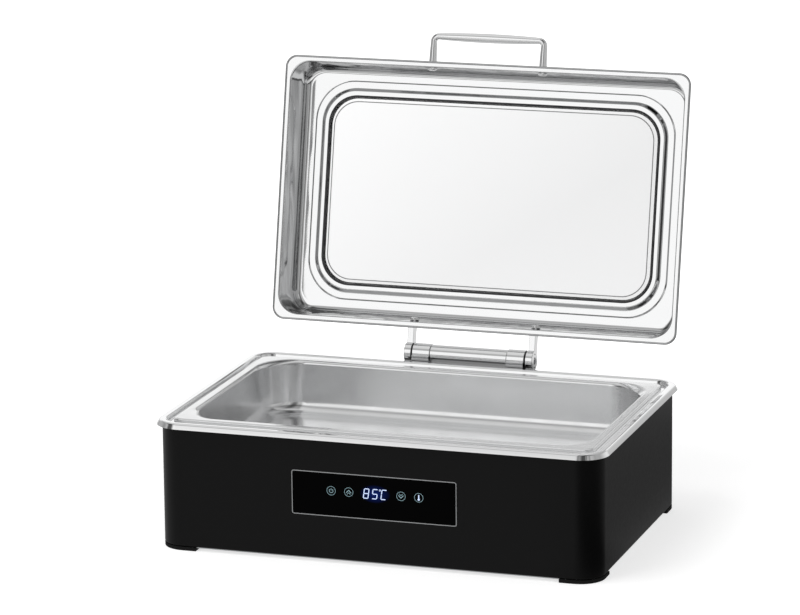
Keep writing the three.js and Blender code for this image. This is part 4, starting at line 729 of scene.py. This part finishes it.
ON_PANEL = Matrix.Translation((0, 0, PANEL_Z)) @ TO_BACK
panel_face = black_glass.copy()
panel_face.name = "panel_face"
# Painted glow: the panel glass gives a faint blue light round the display.
halo(panel_face, (0.0018, DISPLAY_Z * MM), (0.0195, 0.0115), (0.02, 0.09, 0.8), 0.14)
finish_piece("panel_bezel", ring_solid([
    panel_level(0.2, PANEL_FRONT_Y), panel_level(0, PANEL_FRONT_Y + 0.2),
    panel_level(0, FLANGE_FRONT_Y), panel_level(-4, FLANGE_FRONT_Y),
    panel_level(-4, FLANGE_BACK_Y), panel_level(1, FLANGE_BACK_Y),
    panel_level(1, PANEL_FRONT_Y + 0.15), panel_level(0.85, PANEL_FRONT_Y),
], closed=True, steps=6), satin_steel, "base", ["control_bezel"], place=ON_PANEL)
finish_piece("panel_glass", ring_solid([
    panel_level(1.6, GLASS_FRONT_Y), panel_level(1.3, GLASS_FRONT_Y + 0.3),
    panel_level(1.3, GLASS_FRONT_Y + 2.5),
], steps=6), panel_face, "base", ["control_glass"], place=ON_PANEL)

# %% Printed icons and the display
ICON_DEPTH = 0.06
ICON_PLACE = (Matrix.Translation((0, GLASS_FRONT_Y + 0.02, DISPLAY_Z))
              @ Matrix.Rotation(math.radians(90), 4, "X"))


def lit_finish(name, color, glow, strength):
    """A print or a display that gives a little light."""
    finish = new_finish(name, color, 0.5, Emission_Color=(*glow, 1), Emission_Strength=strength)
    vary_roughness(finish, 0.4, 0.6, 500.0)
    return finish


icon_light = lit_finish("icon_light", (0.05, 0.07, 0.075), (0.32, 0.5, 0.55), 0.75)
digit_light = lit_finish("digit_light", (0.1, 0.12, 0.16), (0.6, 0.72, 1.0), 1.1)


def stroke(bm, start, end, width, ends=0.48):
    """A straight stroke; its ends are cut to a point or rounded by the corner bevel."""
    start, end = Vector(start), Vector(end)
    made = bmesh.ops.create_grid(bm, x_segments=1, y_segments=1, size=1.0)["verts"]
    run = end - start
    bmesh.ops.scale(bm, vec=(run.length / 2, width / 2, 1), verts=made)
    shape = eased(bm, made, width * ends, "VERTICES", 4)
    turn = Matrix.Rotation(math.atan2(run.y, run.x), 4, "Z")
    middle = (start + end) / 2
    bmesh.ops.transform(bm, matrix=Matrix.Translation((*middle, 0)) @ turn, verts=shape)
    raised(bm, [shape[0].link_faces[0]], (0, 0, ICON_DEPTH))


def arc(bm, centre, radius, width, first, sweep, steps=40):
    """A flat arc, in degrees; a full turn closes into a ring."""
    ends = [bm.verts.new((radius + side * width / 2, 0, 0)) for side in (-1, 1)]
    edge = bm.edges.new(ends)
    before = set(bm.faces)
    start = Matrix.Rotation(math.radians(first), 3, "Z")
    bmesh.ops.rotate(bm, cent=(0, 0, 0), matrix=start, verts=ends)
    bmesh.ops.spin(bm, geom=ends + [edge], cent=(0, 0, 0), axis=(0, 0, 1),
                   angle=math.radians(sweep), steps=steps, use_merge=sweep == 360)
    faces = [f for f in bm.faces if f not in before]
    corners = list({v for f in faces for v in f.verts})
    bmesh.ops.translate(bm, vec=(*centre, 0), verts=corners)
    raised(bm, faces, (0, 0, ICON_DEPTH))

# %% Draw the icons
ICON_XS = {"power": -53.7, "up": -31.4, "down": 34.5, "thermometer": 56.8}
icons = bmesh.new()
for x in ICON_XS.values():
    arc(icons, (x, 0), 5.4, 0.42, 0, 360)
x = ICON_XS["power"]
arc(icons, (x, -0.1), 2.4, 0.6, 125, 290, 24)
stroke(icons, (x, 0.5), (x, 3.0), 0.7)
for key, way in (("up", 1), ("down", -1)):
    x = ICON_XS[key]
    for reach, foot, tip, width in ((3.1, -1.1, 2.4, 0.8), (2.2, -3.0, -0.7, 0.5)):
        stroke(icons, (x - reach, way * foot), (x, way * tip), width)
        stroke(icons, (x, way * tip), (x + reach, way * foot), width)
bmesh.ops.recalc_face_normals(icons, faces=icons.faces)
finish_piece("panel_icons", icons, icon_light, "base", place=ICON_PLACE)

# %% Draw the display
GLYPHS = ((-9.3, "abcdefg"), (1.6, "acdfg"), (12.9, "adef"))  # 8, 5 and C
GLYPH_WIDTH, GLYPH_HEIGHT, SEGMENT_WIDTH, SEGMENT_GAP = 7.0, 12.8, 1.1, 0.25
LEAN = math.tan(math.radians(8))
w, h = (GLYPH_WIDTH - SEGMENT_WIDTH) / 2, (GLYPH_HEIGHT - SEGMENT_WIDTH) / 2
SEGMENTS = {"a": ((-w, h), (w, h)), "b": ((w, h), (w, 0)), "c": ((w, 0), (w, -h)),
            "d": ((-w, -h), (w, -h)), "e": ((-w, 0), (-w, -h)), "f": ((-w, h), (-w, 0)),
            "g": ((-w, 0), (w, 0))}
digits = bmesh.new()
for centre_x, letters in GLYPHS:
    for letter in letters:
        start, end = (Vector((x + centre_x, y)) for x, y in SEGMENTS[letter])
        inset = (end - start).normalized() * SEGMENT_GAP
        stroke(digits, start + inset, end - inset, SEGMENT_WIDTH, ends=0.4)
arc(digits, (7.4, GLYPH_HEIGHT / 2 - 1.2), 0.9, 0.6, 0, 360, 16)
leaning = Matrix.Identity(4)
leaning[0][1] = LEAN
bmesh.ops.transform(digits, matrix=leaning, verts=digits.verts)
x = ICON_XS["thermometer"]
stroke(digits, (x, -2.4), (x, 3.4), 1.3)
arc(digits, (x, -2.3), 0.8, 1.2, 0, 360, 20)
bmesh.ops.recalc_face_normals(digits, faces=digits.faces)
finish_piece("panel_digits", digits, digit_light, "base", place=ICON_PLACE)

# %% [markdown]
# ## Lid shell
# The lid is one deep stamping. From its rolled hem the sheet runs in as a flat rim, turns up
# into drafted walls, rolls over a round shoulder into the crown, and steps down twice round
# the window. All of it is one bent profile, so the whole lid is one call. The hem, the crease
# and the faces that look inwards get a mark that paints shade into them as darker steel.

# %% Lid shell
LID_LENGTH, LID_WIDTH, LID_DEPTH, LID_SHEET, LID_HEM = 539.3, 341.8, 50.7, 0.8, 1.4
LID_FLANGE, LID_DRAFT, LID_SHOULDER = 7.4, math.radians(6.5), 9.0
RIM_CORNER, CREASE_CORNER, CORNER_SHRINK = 14.5, 53, 0.77
WALL_TOP = LID_FLANGE + (LID_DEPTH - LID_HEM) * math.tan(LID_DRAFT)
CROWN = WALL_TOP + LID_SHOULDER
CREASE = CROWN + 6.8
TERRACE = CREASE + 1.4
SLOPE = TERRACE + 8.2
SHELF = SLOPE + 3.8
WINDOW = SHELF + 6.6
TERRACE_HEIGHT = LID_DEPTH - 0.7
SHELF_HEIGHT = TERRACE_HEIGHT - 2.8


def lid_level(inset, z, corner=None, bend=0.0):
    if corner is None:
        corner = CREASE_CORNER - CORNER_SHRINK * (inset - CREASE)
    return LID_LENGTH / 2 - inset, LID_WIDTH / 2 - inset, corner, z, bend


def lid_wall_inset(height):
    """How far a wall's outer face lies inside the hem at a height."""
    slant = (height - LID_HEM) * math.tan(LID_DRAFT)
    return LID_FLANGE - LID_SHEET / 2 / math.cos(LID_DRAFT) + slant


lid_shell = bent_sheet([
    lid_level(LID_HEM, LID_HEM, RIM_CORNER), lid_level(LID_FLANGE, LID_HEM, 29, 1.1),
    lid_level(WALL_TOP, LID_DEPTH, 24, LID_SHOULDER), lid_level(CROWN, LID_DEPTH, 20),
    lid_level(CREASE, LID_DEPTH, bend=1.6), lid_level(TERRACE, TERRACE_HEIGHT, bend=1.6),
    lid_level(SLOPE, TERRACE_HEIGHT, bend=3.2), lid_level(SHELF, SHELF_HEIGHT, bend=3.2),
    lid_level(WINDOW, SHELF_HEIGHT),
], LID_SHEET, frame_only=True, hem=LID_HEM)


def rim_inset(place):
    """How far a place lies inside the rim's edge, corners too."""
    x = abs(place.x) - LID_LENGTH / 2 + RIM_CORNER
    y = abs(place.y) - LID_WIDTH / 2 + RIM_CORNER
    return RIM_CORNER - (math.hypot(x, y) if min(x, y) > 0 else max(x, y))


WALL_PAINTED_SHADE, SLOPE_PAINTED_SHADE = 0.7, 0.5
# Painted shade on the hem, the crease, and the walls and slopes that look inwards.
painted_shade = lid_shell.faces.layers.float.new("painted_shade")
for face in lid_shell.faces:
    middle = face.calc_center_median()
    inset, tilt = rim_inset(middle), abs(face.normal.z)
    inward = face.normal.x * middle.x + face.normal.y * middle.y < 0 or face.normal.z < -0.3
    creased = CREASE - 0.3 < inset < TERRACE + 0.3 and tilt < 0.995
    if inset < 2 * LID_HEM or creased:
        face[painted_shade] = 1.0
    elif inward and tilt < 0.9:
        face[painted_shade] = SLOPE_PAINTED_SHADE if SLOPE - 1 < inset < SHELF + 1 else WALL_PAINTED_SHADE
finish_piece("lid_shell_body", lid_shell, lid_steel, "lid", ["lid_shell"],
             place=LID_PLACE)

# %% [markdown]
# ## Window
# A rubber profile grips the shell's edge and the glass: a lip on each side, a web between.
# Its round inner lip shows as a dark line round the window. The glass has a raised middle
# with a narrow slope round it; a thin grey strip on that slope paints its edge as a second,
# fine line of shade.

# %% Seal and glass
def eased_loop(corners):
    """Corners of inset, height and ease, each eased one turned into a small arc."""
    points = []
    for i, (x, z, ease) in enumerate(corners):
        corner = Vector((x, z))
        if not ease:
            points.append(corner)
            continue
        before = (Vector(corners[i - 1][:2]) - corner).normalized() * ease
        after = (Vector(corners[(i + 1) % len(corners)][:2]) - corner).normalized() * ease
        for k in range(5):
            turn = math.radians(22.5 * k)
            points.append(corner + before * (1 - math.sin(turn)) + after * (1 - math.cos(turn)))
    return points


def lid_rings(levels, closed=False):
    return ring_solid([lid_level(*level)[:4] for level in levels], closed)


GLASS_EDGE, GLASS_RISE, SEAL_WEB = 4.0, 0.8, 0.8
lip_z = SHELF_HEIGHT - LID_SHEET / 2 - GAP
glass_z = lip_z + GAP
web, web_end = WINDOW + GAP, WINDOW + GAP + SEAL_WEB
cap_z = glass_z + GLASS_EDGE + GAP
shell_top = SHELF_HEIGHT + LID_SHEET / 2 + GAP
lip_start, lip_end, lip_front = web - 1.6, web_end + 0.2, lip_z - 1.4
cap_start, cap_end, cap_back = web - 1.9, web_end + 2, cap_z + 1.2
seal_loop = eased_loop([
    (lip_start, lip_z, 0), (lip_start, lip_front, 0.8), (lip_end, lip_front, 0.8),
    (lip_end, lip_z, 0), (web_end, lip_z, 0), (web_end, cap_z, 0),
    (cap_end, cap_z, 0), (cap_end, cap_back, 0.7), (cap_start, cap_back, 0.7),
    (cap_start, shell_top, 0), (web, shell_top, 0), (web, lip_z, 0),
])
finish_piece("window_seal", lid_rings(seal_loop, closed=True), silicone, "lid",
             ["glass_seal"], place=LID_PLACE)
edge, back_z, front_z = web_end + GAP, cap_z - GAP, glass_z - GLASS_RISE
glass_levels = [
    (edge + 5.65, front_z), (edge + 5.35, front_z + 0.02), (edge + 1.3, glass_z),
    (edge + 0.4, glass_z), (edge + 0.1, glass_z + 0.1), (edge, glass_z + 0.4),
    (edge, back_z - 0.4), (edge + 0.1, back_z - 0.1), (edge + 0.4, back_z),
]
finish_piece("window_pane", lid_rings(glass_levels), window_glass, "lid",
             ["lid_glass"], place=LID_PLACE)
# A grey strip on the glass's slope, painted shade along the edge of its raised middle.
painted_edge, painted_edge_end = edge + 4.9, edge + 6.1
painted_edge_levels = [(painted_edge, front_z + 0.4), (painted_edge, front_z), (painted_edge + 0.4, front_z - 0.12),
               (painted_edge_end - 0.4, front_z - 0.12), (painted_edge_end, front_z), (painted_edge_end, front_z + 0.4)]
finish_piece("window_painted_edge", lid_rings(painted_edge_levels, closed=True), painted_edge_grey, "lid",
             place=LID_PLACE)

# %% [markdown]
# ## Lid handle
# A cast handle: two posts that flare at the lid's wall, tight bends, and a grip that swells
# towards its middle. It is a row of circles of changing size along a path, bridged.

# %% Handle
HANDLE_HALF, HANDLE_REACH, HANDLE_DEPTH, HANDLE_BEND = 73.25, 32.2, 8.7, 6.5
FOOT_R, NECK_R, BEND_R, GRIP_R = 5.8, 4.9, 4.2, 6.1
POST_STEPS, TURN_STEPS, GRIP_STEPS = 8, 8, 24
foot_y = -LID_WIDTH / 2 + lid_wall_inset(HANDLE_DEPTH) - 0.2
bar_y = -LID_WIDTH / 2 - HANDLE_REACH
bend_y = bar_y + HANDLE_BEND


def handle_stations():
    """Centre, direction and radius along the left half, foot first."""
    stations = []
    for k in range(POST_STEPS + 1):
        share = k / POST_STEPS
        y = foot_y + (bend_y - foot_y) * share
        flare = NECK_R + (FOOT_R - NECK_R) * max(0, 1 - share / 0.5) ** 2
        radius = flare + (BEND_R - NECK_R) * max(0, share - 0.5) * 2
        stations.append(((-HANDLE_HALF, y), (0, -1), radius))
    for k in range(1, TURN_STEPS):
        angle = math.radians(90) * k / TURN_STEPS
        inward, outward = HANDLE_BEND * (1 - math.cos(angle)), HANDLE_BEND * math.sin(angle)
        way = (math.sin(angle), -math.cos(angle))
        stations.append(((inward - HANDLE_HALF, bend_y - outward), way, BEND_R))
    grip_x = HANDLE_HALF - HANDLE_BEND
    for k in range(GRIP_STEPS // 2 + 1):
        share = k / GRIP_STEPS
        radius = BEND_R + (GRIP_R - BEND_R) * math.sin(math.pi * share) ** 0.8
        stations.append(((-grip_x + 2 * grip_x * share, bar_y), (1, 0), radius))
    return stations


def handle_solid():
    bm = bmesh.new()
    left = handle_stations()
    right = [((-at[0], at[1]), (way[0], -way[1]), radius) for at, way, radius in left[-2::-1]]
    rings = []
    for at, way, radius in left + right:
        verts = bmesh.ops.create_circle(bm, cap_ends=False, segments=28, radius=radius)["verts"]
        turn = Vector((0, 0, 1)).rotation_difference(Vector((*way, 0))).to_matrix().to_4x4()
        at_bar = Matrix.Translation((*at, HANDLE_DEPTH))
        bmesh.ops.transform(bm, matrix=at_bar @ turn, verts=verts)
        rings.append(list({e for v in verts for e in v.link_edges}))
    join_rings(bm, rings)
    return bm


finish_piece("handle_bar", handle_solid(), hinge_steel, "lid", ["lid_handle"],
             place=LID_PLACE)

# %% [markdown]
# ## Screws
# The handle and the hinge arms are held by domed screws through the lid's wall, the bracket
# by four domed bolts. A dome is a turned profile. Each has a hexagon socket cut in its crown.

# %% Domed screws
def domed_screw(head_radius, head_height, shank_radius, length):
    """Head towards +X from 0, shank towards -X."""
    dome = [(head_height * math.sin(a), head_radius * math.cos(a) ** 0.8)
            for a in (math.radians(10 * k) for k in range(1, 9))]
    screw = turned([(-length, 0), (-length, shank_radius), (0, shank_radius),
                    (0, head_radius), *dome, (head_height, 0)], 32)
    hexagon = pin(head_radius * 0.42, head_height * 0.35, head_height * 2, 6)
    return shaped(screw, [hexagon])


def head_inset(height, head_radius):
    """Inset of a flat screw head that clears the wall's inner face."""
    slant = head_radius * math.tan(LID_DRAFT)
    return lid_wall_inset(height) + LID_SHEET / math.cos(LID_DRAFT) + GAP + slant


ARM_X, ARM_SCREW_DEPTH = 81.0, 17.0
HEAD_R, HEAD_HEIGHT, SHANK_R = 6.0, 3, 2.2
for name, side, _ in SIDES:
    for end, wall, x, depth, length in (("handle", -1, HANDLE_HALF, HANDLE_DEPTH, 11),
                                        ("arm", 1, ARM_X, ARM_SCREW_DEPTH, 9)):
        y = wall * (LID_WIDTH / 2 - head_inset(depth, HEAD_R))
        place = (LID_PLACE @ Matrix.Translation((side * x, y, depth))
                 @ Matrix.Rotation(math.radians(-90 * wall), 4, "Z"))
        finish_piece(f"{end}_dome_{name}", domed_screw(HEAD_R, HEAD_HEIGHT, SHANK_R, length),
                     hinge_steel, "lid", [f"{end}_screw_{name}"], place=place)

# %% [markdown]
# ## Hinge
# The hinge is a heavy turned barrel between two rings of a bracket, with an arm on each end
# that carries the lid. A damper inside the barrel lets the lid down slowly. The barrel,
# rings, bushes and hubs are all turned on the same axis, so their edges line up.

# %% Barrel and bushes
BORE, SHAFT_R, BUSH_R, COLLAR_R = 8.4, 5.3, 8.1, 12.3
BARREL_R, BARREL_HALF = 12.0, 50.9
RING_R, RING_START, RING_END = 13.0, 51.2, 74.3
HUB_START, HUB_END = 76.4, 85.6


def sleeve(outer, inner, start, end, ease):
    """A turned sleeve with rounded outer edges."""
    shares = ((1, 0), (0.62, 0.08), (0.29, 0.29), (0.08, 0.62), (0, 1))
    first = [(start + ease * along, outer - ease * down) for down, along in shares]
    last = [(end - ease * along, outer - ease * down) for down, along in shares[::-1]]
    return turned([(start, inner), *first, *last, (end, inner)])


finish_piece("barrel_sleeve", sleeve(BARREL_R, BORE, -BARREL_HALF, BARREL_HALF, 0.5),
             hinge_steel_painted_shade, "base", ["hinge_barrel"], place=ON_AXIS)
for name, _, flip in SIDES:
    bush = turned([(RING_START, SHAFT_R), (RING_START, BUSH_R), (RING_END + GAP, BUSH_R),
                   (RING_END + GAP, COLLAR_R), (HUB_START - GAP, COLLAR_R),
                   (HUB_START - GAP, SHAFT_R)])
    finish_piece("bush_" + name, bush, black_plastic, "base",
                 ["hinge_bush_" + name], place=ON_AXIS @ flip)

# %% Bracket
BRACKET_Y, BRACKET_SHEET, BRACKET_TOP_Z, BRACKET_HEIGHT = 184.6, 3.0, 146.7, 56.0
LUG_ROOT_Z, LUG_FRONT_Y = BRACKET_TOP_Z - 20, 191.1
plate = ring_solid([(RING_END - i, BRACKET_HEIGHT / 2 - i, 5 - i, y) for i, y in (
    (0.5, 0), (0.15, 0.15), (0, 0.5), (0, BRACKET_SHEET - 0.5),
    (0.15, BRACKET_SHEET - 0.15), (0.5, BRACKET_SHEET))], steps=8)
moved(plate, Matrix.Translation((0, BRACKET_Y, BRACKET_TOP_Z - BRACKET_HEIGHT / 2)) @ TO_BACK)
lug_outline = [
    (BRACKET_Y + 0.5, LUG_ROOT_Z), (BRACKET_Y + 0.5, BRACKET_TOP_Z),
    (LUG_FRONT_Y, BRACKET_TOP_Z), (LUG_FRONT_Y, HINGE_Z), (HINGE_Y + RING_R, HINGE_Z),
    (HINGE_Y + RING_R - 0.8, 149), (HINGE_Y + RING_R - 5, 139.5), (HINGE_Y + 1, 132),
    (BRACKET_Y + BRACKET_SHEET, LUG_ROOT_Z),
]
added, bores = [], []
for _, _, flip in SIDES:
    added.append(moved(profile_block(lug_outline, RING_START, RING_END, 0.4), flip))
    added.append(moved(sleeve(RING_R, BORE - 2, RING_START, RING_END, 0.5), ON_AXIS @ flip))
    bores.append(moved(pin(BORE, RING_START - 1, RING_END + 1), ON_AXIS @ flip))
bracket = shaped(shaped(plate, added, "UNION"), bores)
finish_piece("bracket_body", bracket, hinge_steel_painted_shade, "base", ["hinge_bracket"])

# %% Bracket bolts
BOLT_X, BOLT_HEAD_R = 62, 4.4
BOLT_ZS = (BRACKET_TOP_Z - BRACKET_HEIGHT + 9, LUG_ROOT_Z - BOLT_HEAD_R - 1.5)
for i, (side, z) in enumerate((side, z) for side in (-1, 1) for z in BOLT_ZS):
    place = (Matrix.Translation((side * BOLT_X, BRACKET_Y + BRACKET_SHEET + GAP, z))
             @ Matrix.Rotation(math.radians(90), 4, "Z"))
    finish_piece(f"bolt_dome_{i + 1}", domed_screw(BOLT_HEAD_R, 2.6, 2.4, 9.4), hinge_steel,
                 "base", [f"bracket_bolt_{i + 1}"], place=place)

# %% [markdown]
# ## Hinge arms
# Each arm is a turned hub on the shaft with a flat bar that passes over the rim and ends in
# a pad against the lid's rear wall. The hub's face has the shaft's screw and two slots for a
# pin wrench. The arm is drawn with the lid closed and carried open with it.

# %% Arms
ARM_LOW = LID_RIM_Z + 2 * LID_HEM + GAP + 0.35
ARM_HIGH = ARM_LOW + 12.5
PAD_TOP = ARM_LOW + 21
BAR_HALF, PAD_HALF, PAD_THICK, PAD_EASE = 4.1, 6, 3.6, 1.8
SLOT_HALF, SLOT_OUT = (0.8, 2.75), 8.3  # of the pin wrench


def pad_end(height):
    return LID_CENTRE_Y + LID_WIDTH / 2 - lid_wall_inset(height - LID_RIM_Z) + GAP


def arm_solid():
    low_y, top_y = pad_end(ARM_LOW), pad_end(PAD_TOP)
    back = low_y + PAD_THICK
    top = [(back, PAD_TOP - PAD_EASE), (back - PAD_EASE, PAD_TOP), (top_y, PAD_TOP)]
    bar = profile_block([
        (low_y, ARM_LOW), (0, ARM_LOW), (9, ARM_HIGH / 2), (-9, ARM_HIGH),
        (back + 5.6, ARM_HIGH), *top,
    ], ARM_X - BAR_HALF, ARM_X + BAR_HALF, 0.6, rounds=((4, 3),))
    pad = profile_block([(low_y, ARM_LOW), (back, ARM_LOW), *top],
                        ARM_X - PAD_HALF, ARM_X + PAD_HALF, 0.5)
    hub = turned([(HUB_START, 0), (HUB_START, RING_R - 0.2), (HUB_START + 0.2, RING_R),
                  (HUB_END - 0.9, RING_R), (HUB_END - 0.35, RING_R - 0.2),
                  (HUB_END, RING_R - 0.9), (HUB_END, 0)])
    wide, high = SLOT_HALF
    slots = [box((HUB_END - 1, y - wide, -high), (HUB_END + 1, y + wide, high))
             for y in (-SLOT_OUT, SLOT_OUT)]
    seat = pin(4.65, HUB_END - 2.3, HUB_END + 1, 40)
    bore = pin(SHAFT_R, HUB_START - 1, HUB_END - 4, 40)
    return shaped(shaped(hub, [bar, pad], "UNION"), [*slots, seat, bore])


IN_SEAT = Matrix.Translation((HUB_END - 2, 0, 0))
for name, _, flip in SIDES:
    finish_piece("arm_" + name, arm_solid(), hinge_steel_painted_shade, "lid",
                 ["hinge_arm_" + name], place=ARM_PLACE @ flip)
    finish_piece("shaft_dome_" + name, moved(domed_screw(4.3, 1.7, 2.3, 13), IN_SEAT),
                 satin_steel, "lid", ["shaft_screw_" + name],
                 place=ARM_PLACE @ flip)

# %% [markdown]
# ## Rear inlet
# The inlet's moulding keeps its CAD shape, with its edges eased so that they catch the light.

# %% Inlet
def eased_copy(node, ease):
    """A copy of a CAD solid with merged corners and eased edges."""
    bm = bmesh.new()
    bm.from_mesh(frame["nodes"][node].data)
    bmesh.ops.scale(bm, vec=(1 / MM, 1 / MM, 1 / MM), verts=bm.verts)
    bmesh.ops.remove_doubles(bm, verts=bm.verts, dist=2 * MERGE)
    bmesh.ops.dissolve_limit(bm, angle_limit=math.radians(1), verts=bm.verts, edges=bm.edges)
    sharp = [e for e in bm.edges
             if len(e.link_faces) == 2 and e.calc_face_angle(0) > math.radians(50)]
    eased(bm, sharp, ease, "EDGES", 2, clamp=True)
    return bm


finish_piece("inlet_body", eased_copy("power_inlet", 0.25), black_plastic, "base",
             ["power_inlet"])

# %% [markdown]
# ## Floor, room and light
# The dish stands on a plain white floor in a white studio. Polished steel has no look of its
# own: it shows the room, so the room has a bright panel at eye height, a darker floor line
# and greyer walls, as a studio with flags has. The tones of the room are set by direction,
# for its front and its back apart, and those of the mirrored floor by place. The camera sees
# only white.

# %% Helpers for the floor and the room
def mixed_shader(tree, factor, first, second):
    mix = add_node(tree, "MixShader", Fac=factor)
    feed(tree, mix.inputs[1], first)
    feed(tree, mix.inputs[2], second)
    return mix.outputs["Shader"]


def camera_sees(tree):
    """1 for what the camera sees, straight or through the glass."""
    rays = add_node(tree, "LightPath").outputs
    return math_node(tree, "MAXIMUM", rays["Is Camera Ray"], rays["Is Transmission Ray"])

# %% Floor
FLOOR_HALF = 60.0
floor_finish = bpy.data.materials.new("white_floor")
floor_finish.use_nodes = True
tree = floor_finish.node_tree
tree.nodes.remove(tree.nodes["Principled BSDF"])
axes = add_node(tree, "SeparateXYZ", Vector=object_place(tree)).outputs
length = tree.nodes.new("ShaderNodeVectorMath")
length.operation = "LENGTH"
feed(tree, length.inputs[0], object_place(tree))
distance = length.outputs["Value"]


def floor_step(value, start, end, low=0.0, high=1.0):
    """A smooth change from low before a place on the floor to high beyond it."""
    step = add_node(tree, "MapRange", Value=value, From_Min=start, From_Max=end,
                    To_Min=low, To_Max=high)
    step.interpolation_type = "SMOOTHSTEP"
    return step.outputs["Result"]


paper = add_node(tree, "BsdfDiffuse", Color=(0.62, 0.62, 0.62, 1)).outputs["BSDF"]
lift = add_node(tree, "Emission", Strength=floor_step(distance, 0.3, 1.2, 0.6, 1.0))
lifted_paper = tree.nodes.new("ShaderNodeAddShader")
feed(tree, lifted_paper.inputs[0], paper)
feed(tree, lifted_paper.inputs[1], lift.outputs["Emission"])
plain_floor = mixed_shader(tree, camera_sees(tree), paper, lifted_paper.outputs["Shader"])

behind = floor_step(axes["Y"], -0.12, 0.02)
beside = floor_step(axes["X"], 0.2, 0.34)
distant = floor_step(distance, 0.8, 1.5)
beyond = floor_step(axes["Y"], 0.65, 0.85)
near_tone = mixed(tree, beside, 0.55, mixed(tree, behind, 0.01, 0.16))
far_tone = mixed(tree, floor_step(distance, 1.4, 2.6), 0.35, 0.85)
mirror_tone = mixed(tree, beyond, mixed(tree, distant, near_tone, far_tone), 0.7)
mirrored = add_node(tree, "Emission", Strength=mirror_tone).outputs["Emission"]
rays = add_node(tree, "LightPath").outputs
in_mirror = math_node(tree, "SUBTRACT", rays["Is Glossy Ray"], rays["Is Transmission Ray"],
                      clamp=True)
feed(tree, tree.nodes["Material Output"].inputs["Surface"],
     mixed_shader(tree, in_mirror, plain_floor, mirrored))

floor_mesh = bmesh.new()
bmesh.ops.create_grid(floor_mesh, x_segments=1, y_segments=1, size=FLOOR_HALF)
bmesh.ops.translate(floor_mesh, vec=(0, 0, TABLE_Z * MM), verts=floor_mesh.verts)
mesh = bpy.data.meshes.new("floor")
floor_mesh.to_mesh(mesh)
floor_mesh.free()
mesh.materials.append(floor_finish)
floor = bpy.data.objects.new("floor", mesh)
bpy.context.scene.collection.objects.link(floor)
print("floor at", TABLE_Z * MM)

# %% Room
world = bpy.data.worlds.new("studio")
bpy.context.scene.world = world
world.use_nodes = True
tree = world.node_tree
tree.nodes.clear()


def ramp_of(source, stops):
    """Grey tones along a value from -1 to 1."""
    spread = add_node(tree, "MapRange", Value=source, From_Min=-1.0).outputs["Result"]
    greys = [((place + 1) / 2, (tone, tone, tone)) for place, tone in stops]
    return color_ramp(tree, spread, greys)


direction = add_node(tree, "TexCoord").outputs["Generated"]
axes = add_node(tree, "SeparateXYZ", Vector=direction).outputs
front_heights = ramp_of(axes["Z"], [
    (-1, 0.6), (-0.05, 0.5), (0.0, 0.15), (0.06, 0.2), (0.095, 1.0), (0.6, 1.0), (0.69, 0.42),
    (0.82, 0.42), (0.9, 0.68), (1, 0.7)])
front_sides = ramp_of(axes["X"], [
    (-1, 0.4), (-0.93, 0.25), (-0.82, 0.5), (-0.74, 0.08), (-0.58, 0.1), (-0.48, 0.8),
    (-0.42, 1.0), (-0.15, 1.0), (-0.08, 0.35), (0.05, 0.55), (0.2, 0.12), (0.38, 0.15),
    (0.42, 0.6), (0.46, 0.15), (0.5, 0.7), (0.55, 0.55), (0.6, 0.3), (0.65, 0.6),
    (0.8, 0.35), (0.93, 0.5), (1, 0.5)])
back_heights = ramp_of(axes["Z"], [
    (-1, 0.6), (0.02, 0.6), (0.12, 1.0), (0.34, 1.0), (0.48, 0.62), (0.7, 0.55),
    (0.93, 0.7), (1, 0.7)])
back_sides = ramp_of(axes["X"], [
    (-1, 0.4), (-0.8, 0.5), (-0.6, 1.0), (0.1, 1.0), (0.3, 0.6), (0.6, 0.8), (1, 0.5)])
front_or_back = ramp_of(axes["Y"], [(-1, 0), (-0.15, 0), (0.15, 1), (1, 1)])
front = mixed(tree, 1.0, front_heights, front_sides, "RGBA", "MULTIPLY")
back = mixed(tree, 1.0, back_heights, back_sides, "RGBA", "MULTIPLY")
tones = mixed(tree, front_or_back, front, back, "RGBA")
room = add_node(tree, "Background", Color=tones).outputs["Background"]
white = add_node(tree, "Background", Color=(1, 1, 1, 1)).outputs["Background"]
add_node(tree, "OutputWorld", Surface=mixed_shader(tree, camera_sees(tree), room, white))

# %% Lamps
def area_lamp(name, place, target, size, power):
    lamp = bpy.data.lights.new(name, "AREA")
    lamp.shape, lamp.size, lamp.energy = "SQUARE", size, power
    thing = bpy.data.objects.new(name, lamp)
    thing.location = place
    thing.rotation_euler = (Vector(target) - Vector(place)).to_track_quat("-Z", "Y").to_euler()
    thing.visible_glossy = False
    bpy.context.scene.collection.objects.link(thing)


area_lamp("key_light", (-1.6, -1.4, 3.0), (0, 0, 0.1), 2.4, 60)
area_lamp("fill_light", (2.4, -1.8, 2.0), (0, 0, 0.2), 1.8, 22)

# %% [markdown]
# ## Camera
# The camera stands far off with a long lens, to the right of the dish and above it, at the
# place and angle that were worked out from the photograph's straight edges.

# %% Camera
CAMERA_PLACE = (1.591198, -4.884149, 1.506612)
YAW, PITCH, ROLL = 0.319632, 0.235394, -0.010409
FOCAL_PIXELS, IMAGE_WIDTH = 4311.1, 800
level, drop = math.cos(PITCH), math.sin(PITCH)
forward = Vector((-math.sin(YAW) * level, math.cos(YAW) * level, -drop))
right = forward.cross(Vector((0, 0, 1))).normalized()
up = right.cross(forward)
level_right = right * math.cos(ROLL) + up * math.sin(ROLL)
level_up = up * math.cos(ROLL) - right * math.sin(ROLL)
lens = bpy.data.cameras.new("camera")
lens.sensor_width = 36.0
lens.sensor_fit = "HORIZONTAL"
lens.lens = FOCAL_PIXELS / IMAGE_WIDTH * lens.sensor_width
lens.clip_end = 200.0
camera = bpy.data.objects.new("camera", lens)
turn = Matrix((level_right, level_up, -forward)).transposed().to_4x4()
camera.matrix_world = Matrix.Translation(CAMERA_PLACE) @ turn
bpy.context.scene.collection.objects.link(camera)
bpy.context.scene.camera = camera
bpy.context.scene.view_settings.view_transform = "Standard"
print("lens", round(lens.lens, 1), "mm")
